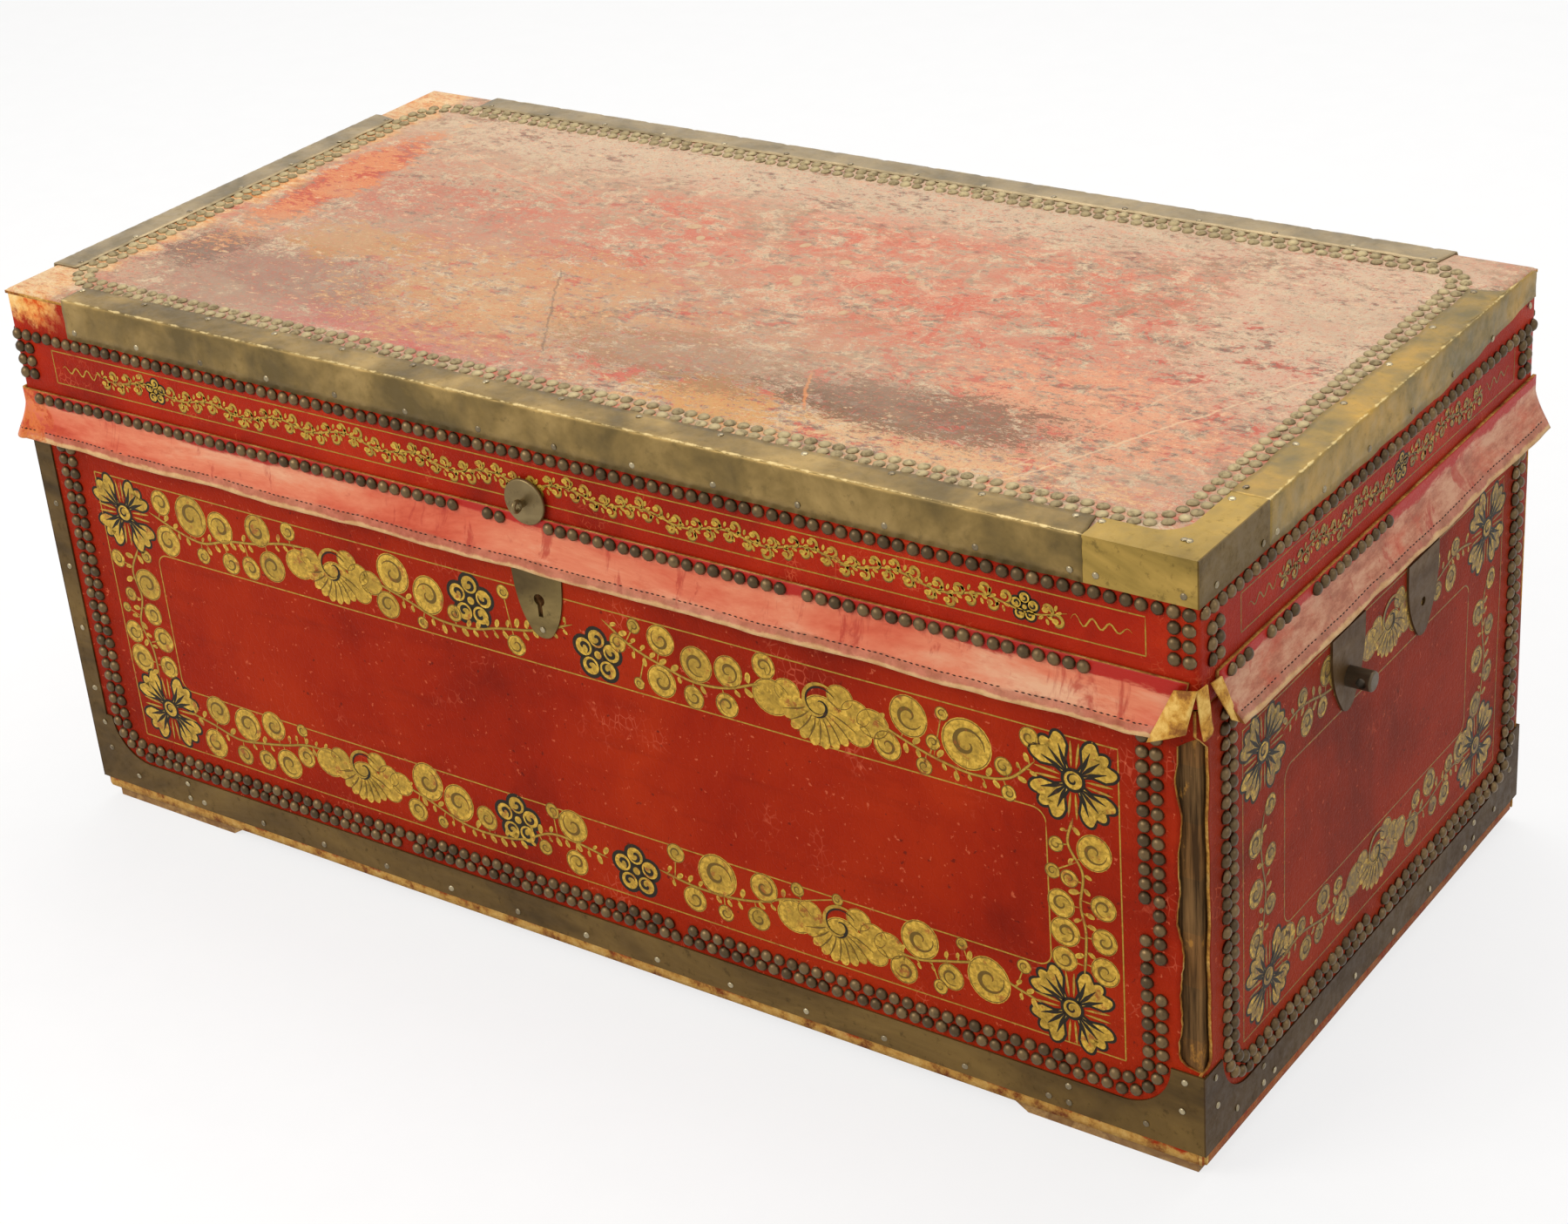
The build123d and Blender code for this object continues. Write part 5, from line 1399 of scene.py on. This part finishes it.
def skirt_material():
    """Skirt leather: pink where the lacquer has rubbed thin, deep red in the folds, with a
    pale dirty fold along its foot."""
    hide = Shader("leather_skirt", Specular_IOR_Level=0.2)
    clouds = hide.noise(60.0, 6.0, 0.66, 0.3, where=hide.stretched((0.35, 0.6, 1.3)))
    fine = hide.noise(1.2, 3.0, 0.7)
    scuffs = hide.noise(16.0, 6.0, 0.75, where=hide.stretched((0.5, 0.5, 1.6)))
    red, rose = rgb(188, 66, 40), rgb(208, 100, 70)
    pink, buff = rgb(218, 128, 94), rgb(224, 170, 134)
    colour = hide.tones(clouds, (0.34, red), (0.43, rose), (0.53, pink), (0.66, buff))
    colour = hide.over(colour, rgb(200, 92, 62), scuffs, 0.52, 0.68, 0.5)
    on_end = hide.ramp(hide.axis("X"), RIGHT - 2.0, RIGHT + 2.0)
    brown, tan, sand = rgb(142, 84, 62), rgb(180, 124, 96), rgb(204, 164, 132)
    dirt = hide.tones(scuffs, (0.38, brown), (0.5, tan), (0.62, sand))
    colour = hide.mix(on_end * hide.ramp(clouds, 0.36, 0.5, 0.25, 0.75), colour, dirt)
    folds = hide.noise(34.0, 5.0, 0.7, 0.6, where=hide.stretched((1.5, 1.5, 0.3)))
    colour = hide.over(colour, rgb(170, 46, 30), folds, 0.55, 0.66, 0.7)
    hem = hide.value_of("fall") + hide.ramp(scuffs, 0.2, 0.8, -0.05, 0.05)
    patches = hide.noise(12.0, 5.0, 0.7)
    dusty = hide.tones(patches, (0.4, rgb(146, 86, 62)), (0.6, rgb(186, 116, 92)))
    pale = hide.tones(patches, (0.36, rgb(196, 150, 96)), (0.6, rgb(216, 178, 124)))
    colour = hide.over(colour, dusty, hem, 0.78, 0.84, 0.7)
    colour = hide.over(colour, pale, hem, 0.91, 0.96, 0.9)
    kept = hide.ramp(hem + hide.spread(clouds, 0.10, -0.14), 0.16, 0.24, 1.0, 0.0)
    colour = hide.mix(kept, colour, rgb(172, 30, 16))
    ragged = hide.spread(patches, -22.0, 22.0)
    corner = hide.ramp(hide.axis("X") + ragged, LEFT + 6, LEFT + 34, 0.8, 0.0)
    in_front = hide.ramp(hide.axis("Y") + ragged, FRONT + 6, FRONT + 34, 1.0, 0.0)
    rust, orange, coral = rgb(186, 62, 22), rgb(214, 120, 52), rgb(206, 96, 72)
    worn = hide.tones(patches, (0.4, rust), (0.5, orange), (0.62, coral))
    colour = hide.mix(corner * in_front, colour, worn)
    hide.bump((fine, 0.12), (scuffs, 0.3), (clouds, 0.9))
    return hide.finish(colour, hide.spread(fine, 0.32, 0.5))


SKIRT_PROFILE = 22
fall = np.linspace(0, 1, SKIRT_PROFILE)


def skirt_surface(base, outs, flare, seed, ends, slants):
    """The skirt's outer and inner points along a path: straight where it is nailed, then
    flaring to its foot, which waves; ends are how far each end has curled, and slants how far
    its foot is cut back from the end."""
    from_start = distances(base)
    from_end = from_start - from_start[-1]
    s = (from_start + 30.0 * np.unwrap(np.arctan2(outs[:, 1], outs[:, 0])))[:, None]
    t = fall[None, :]
    drop = skirt_high - (skirt_high - skirt_low) * t
    bow = np.clip((SKIRT_FLARE - drop) / (SKIRT_FLARE - skirt_low), 0, 1)
    reach = flare[:, None] * (0.25 * bow + 0.75 * bow**1.5) * (1 - 0.25 * np.clip(bow - 0.8, 0, 1))
    sway = ripple(seed, 170.0, s) * 1.1 + ripple(seed + 1, 55.0, s) * 0.45
    curl = ends[0] * step(-from_start, -END_CURL, 0.0) + ends[1] * step(from_end, -END_CURL, 0.0)
    curl = curl[:, None] * bow
    out = reach + sway * bow**1.4 + curl * 2.4
    z = drop - (ripple(seed + 2, 130.0, s) * 0.9 - 0.9) * bow + curl * 3.0
    thick = SKIRT + HEM * step(t, 0.86, 0.95)
    shift = slants[0] * step(-from_start, -END_SLANT, 0.0)
    shift = shift - slants[1] * step(from_end, -END_SLANT, 0.0)
    way = unit(np.gradient(base, axis=0))
    place = base[:, None, :] + way[:, None, :] * (shift[:, None] * t**1.4)[..., None]
    grids = []
    for off in (out + SKIRT, out + SKIRT - thick):
        flat = place + outs[:, None, :] * off[..., None]
        grids.append(np.concatenate([flat, z[..., None]], -1))
    return grids


def run(start, end, gap=5.0):
    """Points in even steps between two corners of the plan, ends included."""
    start, end = np.array(start, float), np.array(end, float)
    count = max(2, round(np.linalg.norm(end - start) / gap))
    return start + (end - start) * np.linspace(0, 1, count)[:, None]


STITCH_GAP, STITCH_LONG, STITCH_WIDE = 4.1, 2.7, 1.0
STITCH_FALL = 0.80
STITCH_LOST = 0.08
STITCH_SIDES = 6
STITCH_CAPS = np.array([[0, 1, 2, 3], [0, 3, 4, 5], [15, 14, 13, 12], [17, 16, 15, 12]])


def stitches(name, outer, seed):
    """Dark stitches in a line above the fold: small hexagonal bars that lie in the leather,
    some of them lost."""
    rng = np.random.default_rng(seed)
    column = int(round(STITCH_FALL * (SKIRT_PROFILE - 1)))
    line = outer[:, column]
    down = outer[:, column + 1] - outer[:, column - 1]
    distance = distances(line)
    at = np.arange(6, distance[-1] - 6, STITCH_GAP)
    at = at[rng.uniform(size=len(at)) > STITCH_LOST]
    index = np.arange(STITCH_SIDES)
    ring_angles = index * 2 * np.pi / STITCH_SIDES
    reach = np.array([-STITCH_LONG / 2, STITCH_LONG / 2])
    points, faces = [], []
    for number, place in enumerate(at):
        ends = [np.interp(place + reach, distance, line[:, k]) for k in range(3)]
        start, end = np.stack(ends, -1)
        drop = unit(np.array([np.interp(place, distance, down[:, k]) for k in range(3)]))
        out = unit(np.cross(end - start, drop))
        end = end + drop * rng.normal(0, 0.15)
        for centre, size in ((start, 0.4), ((start + end) / 2, 1.0), (end, 0.4)):
            lift = centre + out * 0.1
            circle = np.cos(ring_angles)[:, None] * drop + np.sin(ring_angles)[:, None] * out
            points.append(lift + circle * STITCH_WIDE / 2 * size)
        first = number * 3 * STITCH_SIDES
        for low in (first, first + STITCH_SIDES):
            here, after = low + index, low + (index + 1) % STITCH_SIDES
            faces.append(np.stack([here, after, after + STITCH_SIDES, here + STITCH_SIDES], -1))
        faces.append(first + STITCH_CAPS)
    build(name, np.concatenate(points), [np.concatenate(faces)], [thread], "lid")


thread = dark_ink("stitch_thread", rgb(30, 18, 12), rgb(74, 42, 28))
skirt_hide = skirt_material()
TURN = 1.5
side_part = run((LEFT, BACK), (LEFT, FRONT + TURN))
front_part = run((LEFT + TURN, FRONT), (RIGHT - SPLIT_ON_FRONT, FRONT))
turn_angles = np.radians(np.linspace(180, 270, 12))[1:-1]
turn_outs = np.stack([np.cos(turn_angles), np.sin(turn_angles)], -1)
left_and_front = (
    np.concatenate([side_part, (LEFT + TURN, FRONT + TURN) + TURN * turn_outs, front_part]),
    np.concatenate([[(-1.0, 0.0)] * len(side_part), turn_outs, [(0.0, -1.0)] * len(front_part)]),
    np.concatenate([
        np.full(len(side_part), FLARE_SIDE),
        np.linspace(FLARE_SIDE, FLARE_FRONT, len(turn_outs)),
        np.full(len(front_part), FLARE_FRONT - 1.2),
    ]),
)
right_part = run((RIGHT, FRONT + SPLIT_ON_SIDE), (RIGHT, BACK))
right_side = (
    right_part,
    np.array([(1.0, 0.0)] * len(right_part)),
    np.full(len(right_part), FLARE_SIDE),
)
for piece, seam, replaced, path, seed, ends, slants in (
    (
        "skirt_left_and_front", "stitches_left_and_front", ["skirt_front", "skirt_left"],
        left_and_front, 51, (0.0, 1.0), (0.0, 17.0),
    ),
    (
        "skirt_right_side", "stitches_right", ["skirt_right"],
        right_side, 61, (1.0, 0.0), (6.0, 0.0),
    ),
):
    outer, inner = skirt_surface(*path, seed, ends, slants)
    hides = [skirt_hide, flesh_side]
    build_sheet(piece, outer, inner, hides, "lid", "leather", replaced, ("fall", fall))
    stitches(seam, outer, seed + 1)


def torn_hide():
    """Torn scraps of the skirt, bright ochre on the flesh side."""
    fibre = Shader("torn_scrap", Specular_IOR_Level=0.2)
    patches = fibre.noise(14.0, 5.0, 0.7)
    brown, ochre, pale = rgb(138, 84, 34), rgb(200, 146, 58), rgb(230, 190, 104)
    colour = fibre.tones(patches, (0.36, brown), (0.47, ochre), (0.6, pale))
    fibre.bump((fibre.noise(3.0, 4.0, 0.7), 0.4))
    return fibre.finish(colour, 0.7)


scrap_hide = torn_hide()
SCRAP = 1.3


def scrap(name, corners, bulge, seed):
    """A torn flap of leather between four corners, bowed out across its width and rippled
    towards its tip."""
    a, b, c, d = np.array(corners, float)
    u = np.linspace(0, 1, 9)[:, None, None]
    v = np.linspace(0, 1, 15)[None, :, None]
    sheet = (1 - v) * ((1 - u) * a + u * b) + v * ((1 - u) * d + u * c)
    normal = unit(np.cross(d - a, b - a))
    waves = ripple(seed, 22.0, *np.moveaxis(sheet, -1, 0))[..., None]
    outer = sheet + normal * (4 * bulge * u * (1 - u) * (0.3 + 0.7 * v) + 0.9 * waves * v)
    build_sheet(name, outer, outer - normal * SCRAP, [scrap_hide], "lid", "leather")


scrap("scrap_under_front", [
    (444, FRONT - 5.0, 329), (458, FRONT - 5.4, 332),
    (453, FRONT - 10.0, 306), (431, FRONT - 12.6, 297),
], 2.5, 141)
scrap("scrap_at_corner", [
    (RIGHT + 1.0, FRONT - 4.5, 331), (RIGHT + 3.0, FRONT + 4.0, 332),
    (RIGHT + 5.5, FRONT + 5.0, 305), (RIGHT + 3.5, FRONT - 2.0, 300),
], 1.5, 142)
scrap("scrap_on_side", [
    (RIGHT + 3.4, FRONT + 8.0, 331), (RIGHT + 3.6, FRONT + 19.0, 330),
    (RIGHT + 10.5, FRONT + 27.0, 299), (RIGHT + 9.0, FRONT + 21.0, 303),
], 1.0, 143)


# ---- Brass of the lid ------------------------------------------------------------------
# Angle strips folded over the lid's upper edges. They are dented along the fold, which is
# rubbed bright, and their inner edges waver.
BRASS = 1.2


def strip_brass(name, dull, middle, bright, fold_tone):
    """A strip's brass: dull streaks on the legs, and rubbed bright in places along the fold."""
    metal = Shader(f"brass_strip_{name}", Metallic=0.7)
    streaks = metal.noise(46.0, 5.0, 0.6, 0.3)
    spots = metal.noise(8.0, 5.0, 0.7)
    dents = metal.noise(24.0, 2.0, 0.45)
    colour = metal.tones(streaks, (0.36, dull), (0.52, middle), (0.70, bright))
    colour = metal.over(colour, dull, spots, 0.55, 0.7, 0.5)
    worn = metal.ramp(metal.value_of("fold") + metal.spread(spots, -0.45, 0.2), 0.62, 1.0)
    colour = metal.mix(worn * 0.8, colour, fold_tone)
    metal.bump((dents, 0.9), (spots, 0.06))
    return metal.finish(colour, metal.spread(spots, 0.36, 0.55))


front_metal, right_metal, dusty_metal = (
    strip_brass(name, *(rgb(*tone) for tone in tones))
    for name, *tones in (
        ("front", (100, 82, 44), (130, 106, 58), (162, 134, 80), (214, 190, 134)),
        ("right", (112, 98, 60), (150, 122, 62), (182, 142, 62), (214, 190, 130)),
        ("dusty", (118, 104, 76), (148, 130, 98), (168, 148, 112), (196, 180, 144)),
    )
)
STRIP_STEP = 3.0
LEG, FOLD, FLANGE = 5, 6, 8  # the section's points: up the leg, at the fold, and the flange
STRIP_SECTION = 13


def lid_strip(side, seed, metal, flange_cut=0.0, rise=0.0):
    """A dented angle strip: its section runs up the wall, over the fold and in along the
    top, and its points shift with the dents. Its flange ends flange_cut before its leg does,
    and the leg's lower edge rises towards that end."""
    low, high = (np.array(corner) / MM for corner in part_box(f"lid_strip_{side}"))
    axis = 0 if side in ("front", "back") else 1
    start, end, top = low[axis], high[axis], high[2]
    width = (high - low)[1 - axis] - BRASS
    s = np.linspace(start, end, int((end - start) / STRIP_STEP))[:, None]
    k = np.arange(STRIP_SECTION)[None, :]
    out = np.array([[BRASS] * 5 + [BRASS * 0.86, BRASS * 0.3, -1.6, *-np.linspace(5, width, 5)]])
    z = np.array([[*np.linspace(low[2], top - 2.6, 5), top - 0.9, top - 0.15] + [top] * 6])
    fold = np.exp(-(((k - FOLD) / 1.3) ** 2))
    knocks = np.clip(ripple(seed, 42.0, s) * 1.4 - 0.35, 0, 1.6)
    dent = knocks + 0.25 * np.abs(ripple(seed + 1, 14.0, s))
    z = z - dent * np.exp(-(((k - FOLD) / 1.6) ** 2)) * 1.2
    out = out - 0.8 * dent * fold + 0.35 * np.abs(ripple(seed + 2, 36.0, s)) * (k < LEG)
    z = z + 0.3 * np.abs(ripple(seed + 3, 30.0, s)) * (k >= FLANGE)
    out = out - 1.2 * ripple(seed + 4, 60.0, s) * step(k.astype(float), 9.0, 12.0)
    z = z + 0.8 * ripple(seed + 5, 50.0, s) * (k == 0)
    z = z + rise * step(s, end - 150, end) * np.clip(1 - k / 4, 0, 1)
    cut = flange_cut * step(k.astype(float), 4.5, 7.5) + (k > FLANGE) * (k - FLANGE)
    along = start + (s - start) * (end - cut - start) / (end - start)
    along = along + 0.8 * ripple(seed + 6, 14.0, z)
    inner_out = out - BRASS * np.where(k <= FOLD, 1.0, 0.2)
    inner_z = z - BRASS * np.where(k < FOLD, 0.0, 1.0)
    outer, inner = on_wall(side, along, z, out), on_wall(side, along, inner_z, inner_out)
    build_sheet(
        f"brass_lid_{side}", outer, inner, [metal], "lid", "brass",
        [f"lid_strip_{side}"], ("fold", fold),
    )


lid_strip("front", 71, front_metal)
lid_strip("back", 81, dusty_metal)
lid_strip("left", 91, dusty_metal)
lid_strip("right", 101, right_metal, 45.0, 9.0)
dress(brass("brass_cap", rgb(100, 82, 42), rgb(148, 122, 60), rgb(188, 154, 80)), "lid_corner_cap")
heads("studs_lid", "nails_lid", "lid", nail_metal, 33)
heads("pins_lid", "lid_pins", "lid", pin_metal, 34)
top_nail_metal = nail_brass("top_nail_brass", rgb(146, 130, 96), rgb(172, 156, 118), (0.6, 0.75))
heads("studs_lid_top", "nails_lid_top", "lid", top_nail_metal, 35, 0.05)


# ---- Lock, rose, handles and hinges ----------------------------------------------------
# Brown brass fittings, worn brighter where they are handled. The lock's case, its bolt and
# the staple that drops into it are dark wrought iron.
for name, tones, finish, dressed in (
    (
        "brass_fittings", ((92, 66, 40), (130, 102, 66), (168, 138, 98)),
        ((0.44, 0.6), 0.25, 0.35),
        ("handle_plates_left", "handle_plates_right", "handle_nuts", "bail_left", "hinge_pins",
         "case_screws", "lid_screws", "hinge_left_body_leaf", "hinge_left_lid_leaf",
         "hinge_right_body_leaf", "hinge_right_lid_leaf"),
    ),
    (
        "brass_rose", ((84, 70, 46), (122, 104, 70), (160, 142, 102)), ((0.32, 0.48), 0.25),
        ("lid_rose", "ring_eye"),
    ),
    (
        "brass_escutcheon", ((78, 62, 36), (110, 92, 54), (146, 124, 76)), ((0.34, 0.5), 0.25),
        ("escutcheon",),
    ),
    (
        "post_metal", ((112, 100, 82), (150, 138, 116), (184, 172, 148)), ((0.32, 0.5), 0.2),
        ("handle_posts_left", "handle_posts_right"),
    ),
):
    dress(brass(name, *(rgb(*tone) for tone in tones), *finish), *dressed)


def iron():
    """Wrought iron, brown black, with rust in its pits."""
    metal = Shader("lock_iron", Metallic=0.8)
    pits = metal.noise(4.0, 5.0, 0.7)
    black, brown, rust = rgb(58, 52, 48), rgb(84, 64, 48), rgb(120, 74, 44)
    colour = metal.tones(pits, (0.4, black), (0.6, brown), (0.72, rust))
    metal.bump((pits, 0.2))
    return metal.finish(colour, metal.spread(pits, 0.45, 0.75))


dress(iron(), "lock_case", "lock_bolt", "staple_plate")
